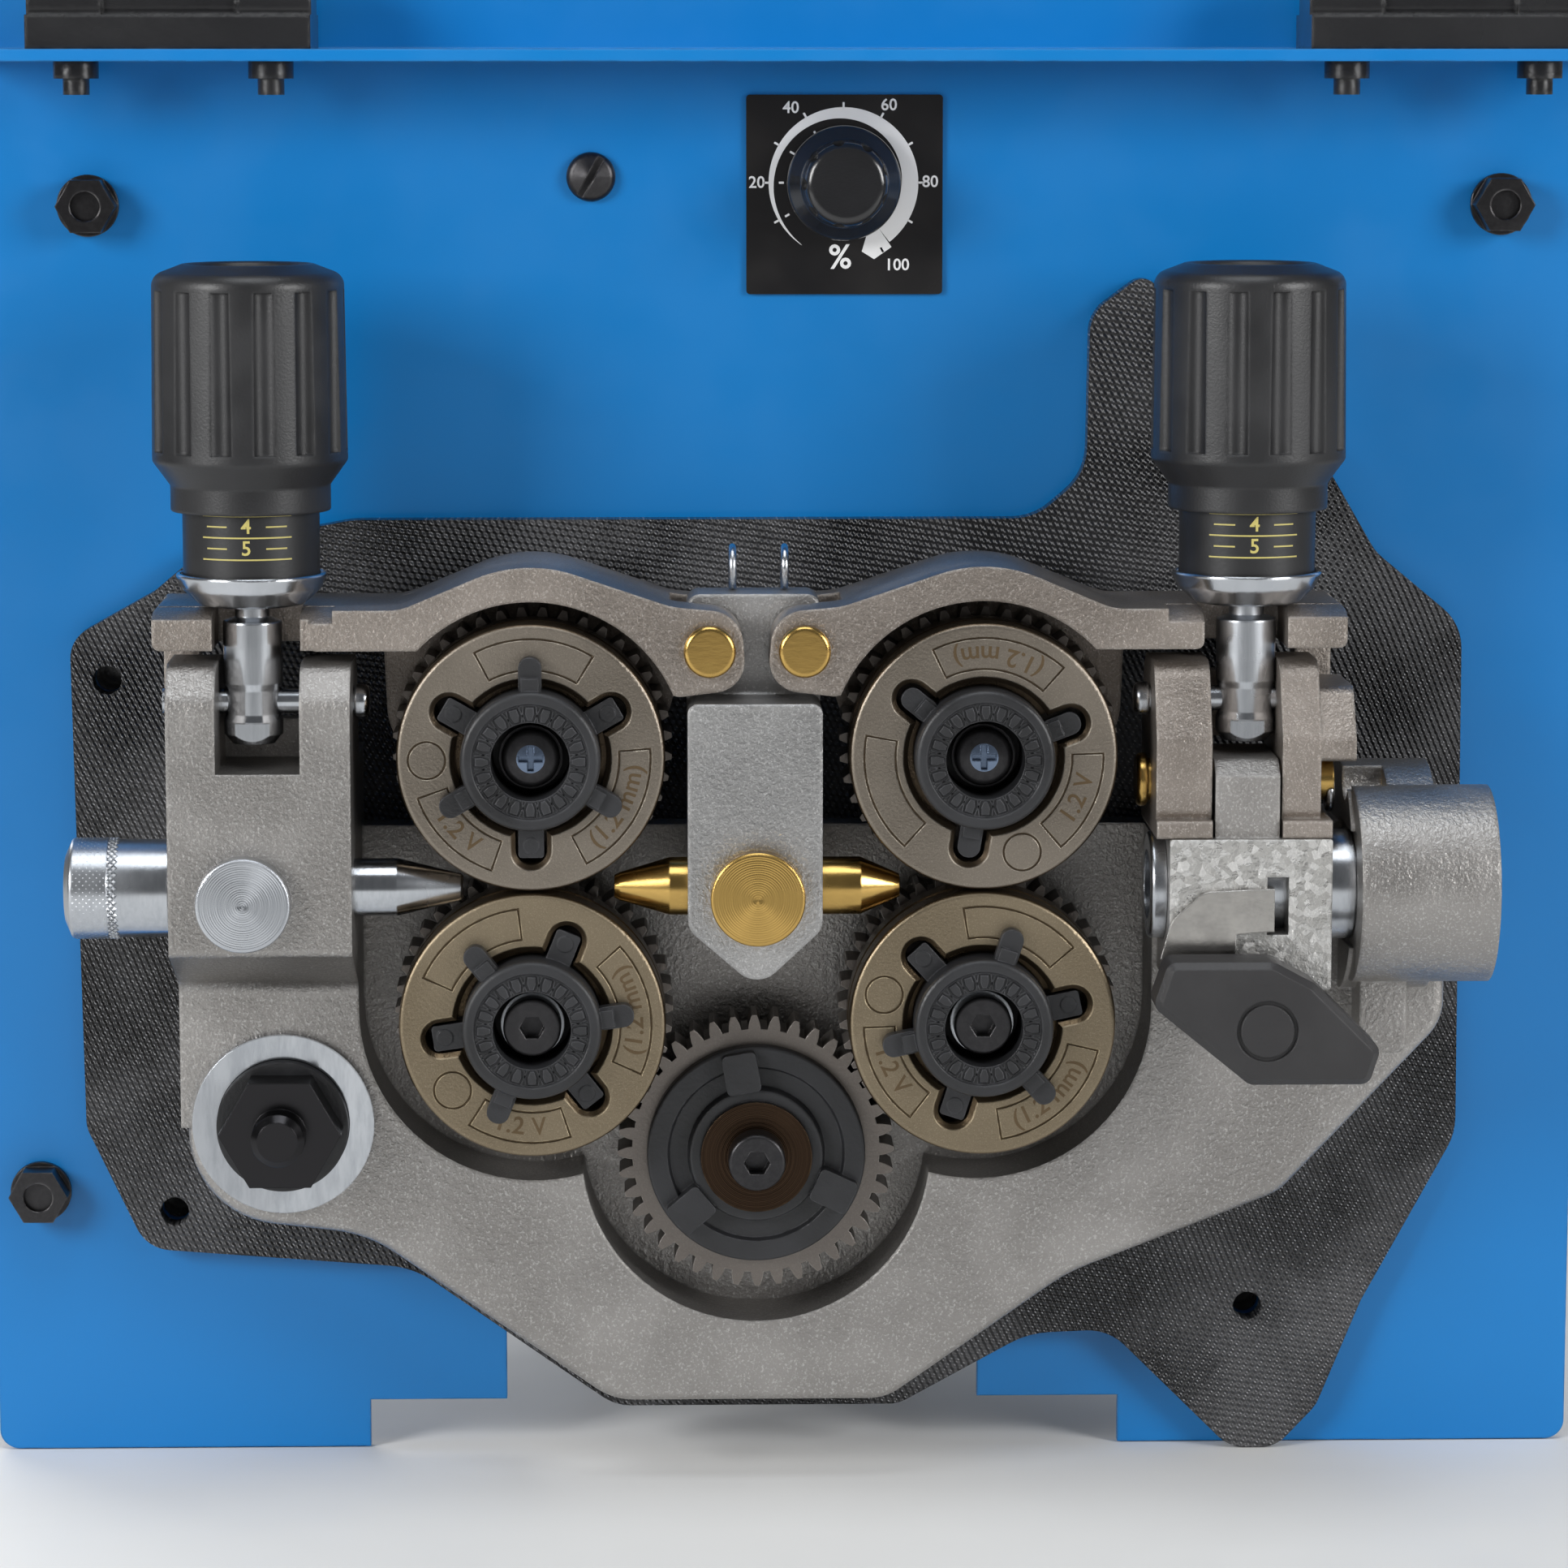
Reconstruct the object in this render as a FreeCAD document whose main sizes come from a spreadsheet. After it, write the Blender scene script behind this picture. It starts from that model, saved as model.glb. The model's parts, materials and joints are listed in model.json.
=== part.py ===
import FreeCAD, Part

# Four-roll wire feeder drive bay: chassis panel, insulated cast feed plate, five-gear
# train, two sprung pressure arms, gun clamp, run-in speed control and gear motor.
#
# Frame: +X to the gun side, +Z up, -Y towards the operator. The origin is on the motor
# shaft's axis, in the front face of the chassis panel. A "stand-off" is a distance from
# that face towards the operator, so a stand-off of 24 is at y = -24.

import math
import os
import re

from FreeCAD import Placement, Rotation, Vector

SIZES = {
    "panel_left": -118, "panel_right": 128, "panel_bottom": -52, "panel_top": 178,
    "panel_thick": 2, "ledge_low": 163.6, "ledge_depth": 22, "ledge_thick": 1.8,
    "insulator_thick": 4,
    "floor_front": 10, "rim_front": 24, "block_front": 40, "post_front": 38.6,
    "pocket_radius": 26.4, "casting_top": 48,
    "station_x": 33.4, "station_z": 22.01, "gear_teeth": 40, "gear_module": 1,
    "gear_back": 16, "gear_width": 8, "tooth_play": 0.12,
    "roll_od": 39.6, "roll_back": 26, "roll_width": 12, "roll_bore": 20.6,
    "hub_bore": 11.6, "axle_dia": 8, "axle_front": 35,
    "journal_play": 0.05,
    "wire_z": 42.01, "wire_out": 32,
    "pivot_x": 7, "pivot_z": 77.6, "pivot_pin_dia": 5,
    "arm_back": 10.5, "arm_web_front": 15, "arm_front": 36, "arch_radius": 22.9,
    "fork_low": 77.7, "fork_top": 83.7, "fork_front": 35,
    "rod_out": 29, "rod_low": 63.4, "clevis_z": 69.6, "clevis_pin_dia": 3.8,
    "left_rod_x": -74.6, "right_rod_x": 72.9,
    "cup_low": 84, "cup_dia": 22.8, "cup_foot_dia": 15.4,
    "barrel_dia": 20.2, "spring_dia": 15.6,
    "knob_low": 98, "knob_high": 134.5, "knob_dia": 28.8, "skirt_dia": 23.6,
    "skirt_bore": 21.2, "grip_low": 105.4,
    "dial_x": 13.9, "dial_z": 145.2,
    "handle_x": 74.1, "handle_z": 23.5, "handle_back": 45, "handle_front": 53,
    "clamp_front": 42.6, "sleeve_dia": 29.4, "bush_dia": 14.8, "spigot_dia": 37.6,
    "mount_x": -71.3, "mount_z": 4.8,
    "motor_dia": 60, "motor_length": 78, "gearbox_depth": 36,
}

doc = FreeCAD.newDocument("WireFeeder")
sheet = doc.addObject("Spreadsheet::Sheet", "Sizes")
for row, (alias, number) in enumerate(SIZES.items(), 1):
    sheet.set("A%d" % row, alias.replace("_", " "))
    sheet.set("B%d" % row, str(number))
    sheet.setAlias("B%d" % row, alias)
doc.recompute()

FRONT = Rotation(Vector(1, 0, 0), 90)      # local +Z points at the operator (-Y)
BACK = Rotation(Vector(1, 0, 0), -90)      # local +Z points away from the operator
RIGHT = Rotation(Vector(0, 1, 0), 90)      # local +Z points along +X
UPRIGHT = Rotation()
PARTS = {}


# ---------------------------------------------------------------- helpers

def size(alias):
    """A driving dimension, read back from the sheet."""
    return float(sheet.get(alias))


def bind(feature, prop, rule):
    """Bind a property to a number or to a rule written with the sheet's aliases."""
    words = re.sub(r"[a-z]+(_[a-z]+)+", lambda word: "Sizes." + word.group(0), str(rule))
    feature.setExpression(prop, words)


def keep(name, feature):
    """Give a finished sub-part its label and list it for export."""
    feature.Label = name
    PARTS[name] = feature
    return feature


def place(feature, at, turn=UPRIGHT):
    """Put a primitive at (x, stand-off, z); places given as rules stay bound to the sheet."""
    across, out, up = at
    if not any(isinstance(part, str) for part in at):
        feature.Placement = Placement(Vector(across, -out, up), turn)
        return feature
    feature.Placement = Placement(Vector(), turn)
    bind(feature, "Placement.Base.x", across)
    bind(feature, "Placement.Base.y", "-(%s)" % out)
    bind(feature, "Placement.Base.z", up)
    return feature


def cylinder(radius, length, at, turn=FRONT):
    """A primitive cylinder from a point along the turned +Z."""
    tube = doc.addObject("Part::Cylinder", "Cylinder")
    bind(tube, "Radius", radius)
    bind(tube, "Height", length)
    return place(tube, at, turn)


def cone(low, high, length, at, turn=FRONT):
    """A primitive cone from a point along the turned +Z."""
    taper = doc.addObject("Part::Cone", "Cone")
    bind(taper, "Radius1", low)
    bind(taper, "Radius2", high)
    bind(taper, "Height", length)
    return place(taper, at, turn)


def box(width, depth, height, at):
    """A primitive box from its low-x, operator-side, low-z corner."""
    block = doc.addObject("Part::Box", "Box")
    bind(block, "Length", width)
    bind(block, "Width", depth)
    bind(block, "Height", height)
    return place(block, at)


def ring(radius, tube, at, turn=FRONT):
    """A primitive torus."""
    torus = doc.addObject("Part::Torus", "Torus")
    bind(torus, "Radius1", radius)
    bind(torus, "Radius2", tube)
    return place(torus, at, turn)


def hexagon(across_flats, length, at, turn=FRONT):
    """A primitive hexagonal prism by its width across flats."""
    prism = doc.addObject("Part::Prism", "Hexagon")
    prism.Polygon = 6
    bind(prism, "Circumradius", "(%s) / sqrt(3)" % across_flats)
    bind(prism, "Height", length)
    return place(prism, at, turn)


def fuse(*pieces):
    """Join overlapping or touching pieces into one solid."""
    if len(pieces) == 1:
        return pieces[0]
    joined = doc.addObject("Part::MultiFuse", "Fusion")
    joined.Shapes = list(pieces)
    joined.Refine = True
    return joined


def fuse_in_turn(base, *pieces):
    """Join many pieces one after another, for a casting with many tangent faces."""
    for piece in pieces:
        base = fuse(base, piece)
        base.Refine = False
    return base


def group(*pieces):
    """Hold identical loose pieces together as separate solids."""
    together = doc.addObject("Part::Compound", "Group")
    together.Links = list(pieces)
    return together


def cut(base, *tools):
    """Take the tools away from the base."""
    trimmed = doc.addObject("Part::Cut", "Cut")
    trimmed.Base = base
    trimmed.Tool = fuse(*tools)
    trimmed.Refine = True
    return trimmed


def rounded(corners):
    """Closed run of lines and tangent arcs through (x, y, radius) corners."""
    curves, ends = [], []
    count = len(corners)
    for index, (across, up, radius) in enumerate(corners):
        here = Vector(across, up, 0)
        back = Vector(*corners[index - 1][:2], 0) - here
        ahead = Vector(*corners[(index + 1) % count][:2], 0) - here
        back.normalize()
        ahead.normalize()
        if radius == 0:
            ends.append((here, here))
            continue
        half = back.getAngle(ahead) / 2
        reach = radius / math.tan(half)
        start, stop = here + back * reach, here + ahead * reach
        inward = (back + ahead).normalize()
        middle = here + inward * (radius / math.sin(half) - radius)
        ends.append((start, stop))
        curves.append(Part.Arc(start, middle, stop))
    for index, (start, _) in enumerate(ends):
        before = ends[index - 1][1]
        if before.distanceToPoint(start) > 1e-6:
            curves.append(Part.LineSegment(before, start))
    return curves


def rounded_box(left, low, right, high, radius):
    """Corners of an upright rectangle, all rounded alike."""
    return [(left, low, radius), (right, low, radius), (right, high, radius), (left, high, radius)]


def slab(curves, back, front):
    """A PartDesign body: a front-facing sketch padded between two stand-offs."""
    body = doc.addObject("PartDesign::Body", "Body")
    sketch = body.newObject("Sketcher::SketchObject", "Outline")
    plane = next(item for item in body.Origin.OriginFeatures if item.Role == "XZ_Plane")
    sketch.AttachmentSupport = (plane, "")
    sketch.MapMode = "FlatFace"
    bind(sketch, "AttachmentOffset.Base.z", back)
    sketch.addGeometry(curves, False)
    pad = body.newObject("PartDesign::Pad", "Pad")
    pad.Profile = sketch
    bind(pad, "Length", "(%s) - (%s)" % (front, back))
    return body


def side_slab(curves, low, high):
    """A PartDesign body: a side sketch of (stand-off, z) padded between two x places."""
    body = doc.addObject("PartDesign::Body", "Body")
    sketch = body.newObject("Sketcher::SketchObject", "Profile")
    plane = next(item for item in body.Origin.OriginFeatures if item.Role == "YZ_Plane")
    sketch.AttachmentSupport = (plane, "")
    sketch.MapMode = "FlatFace"
    bind(sketch, "AttachmentOffset.Base.z", low)
    sketch.addGeometry(curves, False)
    pad = body.newObject("PartDesign::Pad", "Pad")
    pad.Profile = sketch
    bind(pad, "Length", "(%s) - (%s)" % (high, low))
    return body


def side(corners):
    """Side-sketch corners given as (stand-off, z, radius)."""
    return rounded([(-out, up, radius) for out, up, radius in corners])


def turned(profile, at, turn=UPRIGHT):
    """A PartDesign body turned about its local Z from (radius, height) corners."""
    body = doc.addObject("PartDesign::Body", "Body")
    sketch = body.newObject("Sketcher::SketchObject", "Profile")
    plane = next(item for item in body.Origin.OriginFeatures if item.Role == "XZ_Plane")
    sketch.AttachmentSupport = (plane, "")
    sketch.MapMode = "FlatFace"
    corners = [(*corner, 0) if len(corner) == 2 else corner for corner in profile]
    sketch.addGeometry(rounded(corners), False)
    lathe = body.newObject("PartDesign::Revolution", "Revolution")
    lathe.Profile = sketch
    lathe.ReferenceAxis = (sketch, ["V_Axis"])
    lathe.Angle = 360
    return place(body, at, turn)


def fixed_shape(shape):
    """A feature whose shape is worked out with Part's own functions."""
    feature = doc.addObject("Part::Feature", "Shape")
    feature.Shape = shape
    return feature


def copies(make, angles, centre):
    """Pieces repeated about a front-facing axis through (x, z)."""
    pieces = []
    for angle in angles:
        piece = make()
        spin = Rotation(Vector(0, -1, 0), angle)
        middle = Vector(centre[0], 0, centre[1])
        piece.Placement = Placement(middle, spin).multiply(piece.Placement)
        pieces.append(piece)
    return pieces


def thirds(first):
    """Three angles a third of a turn apart."""
    return [first, first + 120, first + 240]


# ---------------------------------------------------------------- gears

def involute(angle):
    return math.tan(angle) - angle


def gear_blank(phase):
    """Spur gear on local Z with involute flanks; phase is the first tooth's angle."""
    teeth, module = int(size("gear_teeth")), size("gear_module")
    pitch_radius = teeth * module / 2
    pressure = math.radians(20)
    base_radius = pitch_radius * math.cos(pressure)
    root_radius, tip_radius = pitch_radius - 1.25 * module, pitch_radius + 0.92 * module
    half_pitch = math.pi / (2 * teeth) - size("tooth_play") / (2 * pitch_radius)
    flank = []
    for share in (0, 0.25, 0.5, 0.75, 1):
        radius = base_radius + (tip_radius - base_radius) * share
        lean = math.acos(base_radius / radius)
        flank.append((radius, half_pitch + involute(pressure) - involute(lean)))
    flank.insert(0, (root_radius, flank[0][1]))
    side_one = [(radius, -angle) for radius, angle in flank]
    side_two = [(radius, angle) for radius, angle in reversed(flank)]
    points = []
    for tooth in range(teeth):
        middle = math.radians(phase) + 2 * math.pi * tooth / teeth
        for radius, angle in side_one + side_two:
            turn = middle + angle
            points.append(Vector(radius * math.cos(turn), radius * math.sin(turn), 0))
    outline = Part.makePolygon(points + [points[0]])
    return Part.Face(outline).extrude(Vector(0, 0, size("gear_width")))


def mesh_phase(direction, phase):
    """Tooth phase that puts the next gear in mesh along a direction from this one."""
    return 2 * direction + 180 + 180 / size("gear_teeth") - phase


def gear(name, at, phase, bore):
    """A finished gear at (x, z) with a plain bore."""
    blank = place(fixed_shape(gear_blank(phase)), (at[0], "gear_back", at[1]), FRONT)
    hole = cylinder(bore, "gear_width + 2", (at[0], "gear_back - 1", at[1]))
    wheel = cut(blank, hole)
    wheel.Refine = False
    return keep(name, wheel)


# ---------------------------------------------------------------- chassis

def panel_hole(across, up, radius):
    return cylinder(radius, 20, (across, -8, up))


PANEL_SCREWS = [(-100.8, 141.8), (114.4, 141.9), (-110.8, -10.8)]
SLOTTED_SCREW = (-24.5, 146.1)
PLATE_BOLTS = [(-98.8, 69.7), (-89.8, -13.3), (77.2, -29.3)]
SHAFT_HOLE = "spigot_dia / 2 + 0.4"


def chassis_panel():
    left, right = size("panel_left"), size("panel_right")
    low, high = size("panel_bottom"), size("panel_top")
    outline = [(left, low, 3), (-60, low, 0), (-60, -44.5, 0), (-38.6, -44.5, 0), (-38.6, -31, 2),
               (35.2, -31, 2), (35.2, -44.5, 0), (57.4, -44.5, 0), (57.4, low, 0), (right, low, 3),
               (right, high, 3), (left, high, 3)]
    sheet_metal = slab(rounded(outline), "-panel_thick", 0)
    ledge = box("panel_right - panel_left", "ledge_depth", "ledge_thick",
                ("panel_left", "ledge_depth", "ledge_low"))
    holes = [panel_hole(0, 0, SHAFT_HOLE), panel_hole("dial_x", "dial_z", 4.6)]
    holes += [panel_hole(x, z, 2.1) for x, z in PANEL_SCREWS + [SLOTTED_SCREW]]
    holes += [panel_hole(x, z, 2.2) for x, z in PLATE_BOLTS]
    holes += [panel_hole("mount_x", "mount_z", 7.2)]
    hinge_holes = [cylinder(2.1, 6, (x, 12, 161), UPRIGHT) for x in HINGE_BOLTS]
    keep("chassis_panel", cut(fuse(sheet_metal, ledge), *holes, *hinge_holes))


HINGE_CENTRES = (-86.5, 103.5)
HINGE_BOLTS = [centre + step for centre in HINGE_CENTRES for step in (-14.5, 14.5)]


def door_hinges():
    """Fixed halves of the two cover hinges, each with barrel and two bolts."""
    hinges = []
    for centre in HINGE_CENTRES:
        base = box(42, 19, 5, (centre - 21, 21, "ledge_low + ledge_thick"))
        knuckles = [cylinder(6.5, 11, (x, 12, 172), RIGHT) for x in (centre - 21, centre + 10)]
        barrel = cylinder(5.6, 20, (centre - 10, 12, 172), RIGHT)
        web = box(42, 9, 5, (centre - 21, 16.5, 168))
        bolts = [cylinder(2, 12, (centre + step, 12, 158.6), UPRIGHT) for step in (-14.5, 14.5)]
        nuts = [cylinder(3.4, 2.6, (centre + step, 12, 161), UPRIGHT) for step in (-14.5, 14.5)]
        hinges.append(fuse(base, web, barrel, *knuckles, *bolts, *nuts))
    keep("door_hinges", group(*hinges))


def hex_washer_screw(across, up, back=0):
    """Hexagon head on its own washer, with a threaded shank through the sheet."""
    washer = cylinder(4.7, 1, (across, back, up))
    head = hexagon(7.9, 4.2, (across, "%s + 1" % back, up))
    dish = cone(3.4, 2.2, 1, (across, "%s + 4.2" % back, up))
    shank = cylinder(2, 9, (across, "%s - 9" % back, up))
    return fuse(cut(fuse(washer, head), dish), shank)


def chassis_screws():
    hexes = [hex_washer_screw(x, z) for x, z in PANEL_SCREWS]
    across, up = SLOTTED_SCREW
    head = turned([(0, 0), (3.75, 0), (3.75, 1.4, 1.2), (0, 2.6)], (across, 0, up), FRONT)
    slot = box(1.1, 2, 10, (across - 0.55, 3.4, up - 5))
    slot.Placement = Placement(Vector(across, 0, up), Rotation(Vector(0, -1, 0), -30)).multiply(
        Placement(Vector(-0.55, -3.4, -5), Rotation()))
    shank = cylinder(2, 9, (across, -9, up))
    case = [cylinder(2.7, 3, (x, "-panel_thick - gearbox_depth - 3", z))
            for x, z in ((-25, -19), (25, -19), (-25.4, 42.4), (25.4, 42.4))]
    keep("chassis_screws", group(*hexes, fuse(cut(head, slot), shank), *case))


def dial_plate():
    plate = slab(rounded(rounded_box(-0.9, 128.3, 29, 158.5, 0.6)), 0, 0.7)
    keep("dial_plate", cut(plate, cylinder(4.6, 4, ("dial_x", -1, "dial_z"))))


def speed_potentiometer():
    """Sealed pot behind the panel with its threaded bush, nut and terminals."""
    can = cylinder(8.2, 9, ("dial_x", "-panel_thick - 9.2", "dial_z"))
    bush = cylinder(4.4, 11.4, ("dial_x", "-panel_thick - 9.2", "dial_z"))
    lugs = [box(1.4, 0.6, 6, ("dial_x + %g" % step, -9, "dial_z - 13.5")) for step in (-4.7, -0.7, 3.3)]
    shaft_bore = cylinder(3.06, 16, ("dial_x", "-panel_thick - 6.4", "dial_z"))
    keep("speed_potentiometer", cut(fuse(can, bush, *lugs), shaft_bore))


def speed_knob():
    """Round fluted knob on its shaft, with a raised pointer and a wide skirt."""
    skirt = turned([(0, 0), (8.7, 0), (8.7, 3.2, 1.2), (6.6, 5.4, 0.6), (6.2, 12.4, 1.4), (0, 12.4)],
                   ("dial_x", 1, "dial_z"), FRONT)
    recess = cylinder(4.9, 3, ("dial_x", 0.9, "dial_z"))
    flutes = copies(lambda: cylinder(1.1, 10, (6.9, 7.6, 0)),
                    [first * 40 + 20 for first in range(9)], (size("dial_x"), size("dial_z")))
    shaft = cylinder(3, 18, ("dial_x", -8, "dial_z"))
    keep("speed_knob", fuse(cut(skirt, recess, *flutes), shaft))


# ---------------------------------------------------------------- insulator and casting

def insulator_plate():
    outline = [(-104.4, 76, 5), (-91.5, 83.2, 4), (-83.4, 90, 6), (-61, 94.2, 14), (43, 94.2, 9),
               (51, 101, 9), (51.4, 125.5, 6), (59.6, 131.5, 2.5), (86.5, 104.5, 12), (95.5, 89, 8),
               (109, 77.8, 8), (109.4, -2, 10), (95, -28.6, 0), (88.2, -45.4, 6), (82, -52, 5),
               (74.6, -52, 6), (55.5, -33, 8), (43, -33.5, 14), (22.6, -44.7, 6), (-21.6, -44.7, 8),
               (-53, -22.4, 14), (-94.2, -19.2, 6), (-103.2, 0, 5)]
    plate = slab(rounded(outline), 0, "insulator_thick")
    holes = [panel_hole(0, 0, SHAFT_HOLE), panel_hole("mount_x", "mount_z", 5.2)]
    holes += [panel_hole(x, z, 2.2) for x, z in PLATE_BOLTS]
    keep("insulator_plate", cut(plate, *holes))


def casting_base():
    """Foot of the feed plate, with its rounded outer edge."""
    outline = [(-85.8, 60, 0), (-85.8, -9.6, 14.4), (-59, -12.8, 20), (-21.8, -38.9, 10),
               (19.8, -38.9, 8), (47.6, -19.4, 25), (79.6, -7, 8), (104.3, 19.4, 8), (104.3, 50, 6),
               (60, 50, 0), (60, "top", 0), (-60, "top", 0), (-60, 60, 0)]
    corners = [(x, size("casting_top") if z == "top" else z, radius) for x, z, radius in outline]
    body = slab(rounded(corners), "insulator_thick", "rim_front")
    pad = body.Tip
    doc.recompute()
    rim = pad.Shape
    edges = ["Edge%d" % number for number, edge in enumerate(rim.Edges, 1)
             if abs(edge.BoundBox.YMin + size("rim_front")) < 1e-6 and edge.BoundBox.YLength < 1e-6
             and edge.BoundBox.ZMax < 45 and edge.Length > 1]
    soften = body.newObject("PartDesign::Fillet", "Soften")
    soften.Base = (pad, edges)
    soften.Radius = 1.6
    body.Tip = soften
    return body


def gear_pocket():
    """Clear space for the lower three gears, open at the top."""
    depth = "rim_front - floor_front + 1"
    wells = [cylinder("pocket_radius", depth, (x, "floor_front", z))
             for x, z in ((0, 0), ("station_x", "station_z"), ("-station_x", "station_z"))]
    upper = box("2 * (station_x + pocket_radius)", depth, 40,
                ("-station_x - pocket_radius", "rim_front + 1", "station_z"))
    return wells + [upper]


def inlet_block():
    """Left block: clevis ears above, wire inlet bore through, leg down to the mount."""
    side_shape = side([(size("insulator_thick"), 4, 0), (24, 4, 0), (24, 26, 3),
                       (size("block_front"), 33, 1.5), (size("block_front"), 60, 0),
                       (size("insulator_thick"), 60, 0)])
    trunk = side_slab(side_shape, -86.8, -59.8)
    ear_shape = side([(16.5, 58, 0), (size("block_front"), 58, 0), (size("block_front"), 70.5, 4),
                      (36, 75.8, 4), (20, 75.8, 4), (16.5, 66, 3)])
    ears = [side_slab(ear_shape, -86.8, -79.6), side_slab(ear_shape, -67.2, -59.8)]
    shelf = box(12.6, 3.6, 6, (-79.7, 20.1, 59.8))
    return [trunk, *ears, shelf]


def gun_block():
    """Right side: machined clamp block, gun receptacle sleeve, tongue and web."""
    block = slab(rounded(rounded_box(60.6, 27.8, 84.6, 50.2, 0.4)), "rim_front - 6", "clamp_front")
    tongue_shape = side([(18, 49, 0), (41, 49, 0), (41, 59.4, 0), (38, 61.6, 2), (18, 61.6, 3)])
    tongue = side_slab(tongue_shape, 67.4, 76.9)
    sleeve = cylinder("sleeve_dia / 2", 20.4, (88.6, "wire_out", "wire_z"), RIGHT)
    collar = cylinder("sleeve_dia / 2 + 2.6", 13, (88, 22, "wire_z"), RIGHT)
    web = slab(rounded([(90.2, 16.4, 1.5), (97.2, 16.4, 1.5), (97.2, 34, 0), (90.2, 34, 0)]),
               "rim_front - 4", 33)
    stand = box(15, 12, 24, (88.4, 30, 27))
    return [block, tongue, sleeve, collar, web, stand]


def drive_housing():
    shell = fuse_in_turn(cut(casting_base(), *gear_pocket()), *inlet_block(), *gun_block())
    pin = "clevis_pin_dia / 2"
    tools = [
        cylinder(5.06, 30, (0, 0, 0)),
        cylinder(4.3, 60, (-100, "wire_out", "wire_z"), RIGHT),
        cylinder(2.6, 9, ("left_rod_x - 1", "block_front - 7", "wire_z - 1")),
        cylinder(pin, 42, (-100, "rod_out", "clevis_z"), RIGHT),
        cylinder("bush_dia / 2", 60, (55, "wire_out", "wire_z"), RIGHT),
        cylinder(3.08, 30, ("handle_x", 17.4, "handle_z")),
        cylinder(3.2, 30, (64, "rod_out", 57.4), RIGHT),
        cylinder(5.2, 40, ("mount_x", -2, "mount_z")),
        box(3.2, 20, 8.6, (75, 50, 36)),
        box(4, 32, 17.6, (84.6, 54, 33)),
    ]
    tools += [cylinder("axle_dia / 2", 20, (x, -1, "station_z")) for x in ("station_x", "-station_x")]
    tools.append(cylinder(2.2, 20, (PLATE_BOLTS[1][0], -1, PLATE_BOLTS[1][1])))
    keep("drive_housing", cut(shell, *tools))


def mount_hardware():
    """Stud, nut and washer that clamp the casting's insulated foot."""
    stud = cylinder(4, 48, ("mount_x", -10, "mount_z"))
    dome = cone(4, 3, 1, ("mount_x", 38, "mount_z"))
    nut = cut(hexagon(15.9, 6.4, ("mount_x", 27.6, "mount_z")),
              cylinder(4, 9, ("mount_x", 27, "mount_z")))
    washer = cut(cylinder(13.7, 1.4, ("mount_x", "rim_front", "mount_z")),
                 cylinder(5.2, 3, ("mount_x", "rim_front - 1", "mount_z")))
    keep("mount_stud", group(fuse(stud, dome), nut, washer))
    bush = fuse(cylinder(9.9, 2.2, ("mount_x", 25.4, "mount_z")),
                cylinder(5.2, 27.4, ("mount_x", -2, "mount_z")))
    keep("mount_bush", cut(bush, cylinder(4, 40, ("mount_x", -6, "mount_z"))))


# ---------------------------------------------------------------- roll stations

# Engraved frames on a roll's face: middle angle from its first slot, then half the span
FACE_FRAMES = ((58, 30), (-59, 34), (195, 26))
FACE_RING = 151


def sector(outer, inner, middle, half):
    """Ring segment one millimetre thick on local Z."""
    pie = Part.makeCylinder(outer, 1, Vector(), Vector(0, 0, 1), 2 * half)
    pie = pie.cut(Part.makeCylinder(inner, 1))
    pie.Placement = Placement(Vector(), Rotation(Vector(0, 0, 1), middle - half))
    return pie


def roll_face_marks(centre, first):
    """Thin engraved outlines of the blank size frames and of one blank round mark."""
    depth = "roll_back + roll_width - 0.3"
    lines = [sector(17.8, 12.9, first + middle, half).cut(sector(17.5, 13.2, first + middle, half - 1))
             for middle, half in FACE_FRAMES]
    turn = math.radians(first + FACE_RING)
    spot = Vector(15.3 * math.cos(turn), 15.3 * math.sin(turn), 0)
    lines.append(Part.makeCylinder(2.9, 1, spot).cut(Part.makeCylinder(2.6, 1, spot)))
    return [place(fixed_shape(line), (centre[0], depth, centre[1]), FRONT) for line in lines]


def feed_roll(name, centre, first):
    """Grooved feed roll: counterbored face, three open slots and engraved frames."""
    radius, back, width = size("roll_od") / 2, size("roll_back"), size("roll_width")
    bore, well = size("roll_bore") / 2, size("roll_bore") / 2 + 0.9
    middle = width / 2
    rim = [(bore, 0), (radius, 0, 0.6), (radius, middle - 0.9), (radius - 0.8, middle),
           (radius, middle + 0.9), (radius, width, 0.7), (well + 0.8, width), (well, width - 0.8),
           (well, width - 4), (bore, width - 4)]
    blank = turned(rim, (centre[0], back, centre[1]), FRONT)
    front = back + width
    tools = []
    for angle in thirds(first):
        tools += copies(lambda: box(5, 20, 4.6, (8.7, front + 1, -2.3)), [angle], centre)
        tools += copies(lambda: cylinder(2.3, 20, (13.7, front - 19, 0)), [angle], centre)
        tools += copies(lambda: cone(2.3, 3.1, 0.8, (13.7, front - 0.8, 0)), [angle], centre)
        tools += copies(slot_chamfer, [angle], centre)
    keep(name, cut(cut(blank, *tools), *roll_face_marks(centre, first)))


def slot_chamfer():
    """Bevelled mouth of a roll's slot, on the +X radius."""
    front = size("roll_back") + size("roll_width")
    profile = [(-2.3, -front + 0.8), (2.3, -front + 0.8), (3.1, -front), (-3.1, -front)]
    corners = [Vector(8.7, out, up) for up, out in profile]
    return fixed_shape(Part.Face(Part.makePolygon(corners + [corners[0]])).extrude(Vector(5, 0, 0)))


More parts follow.
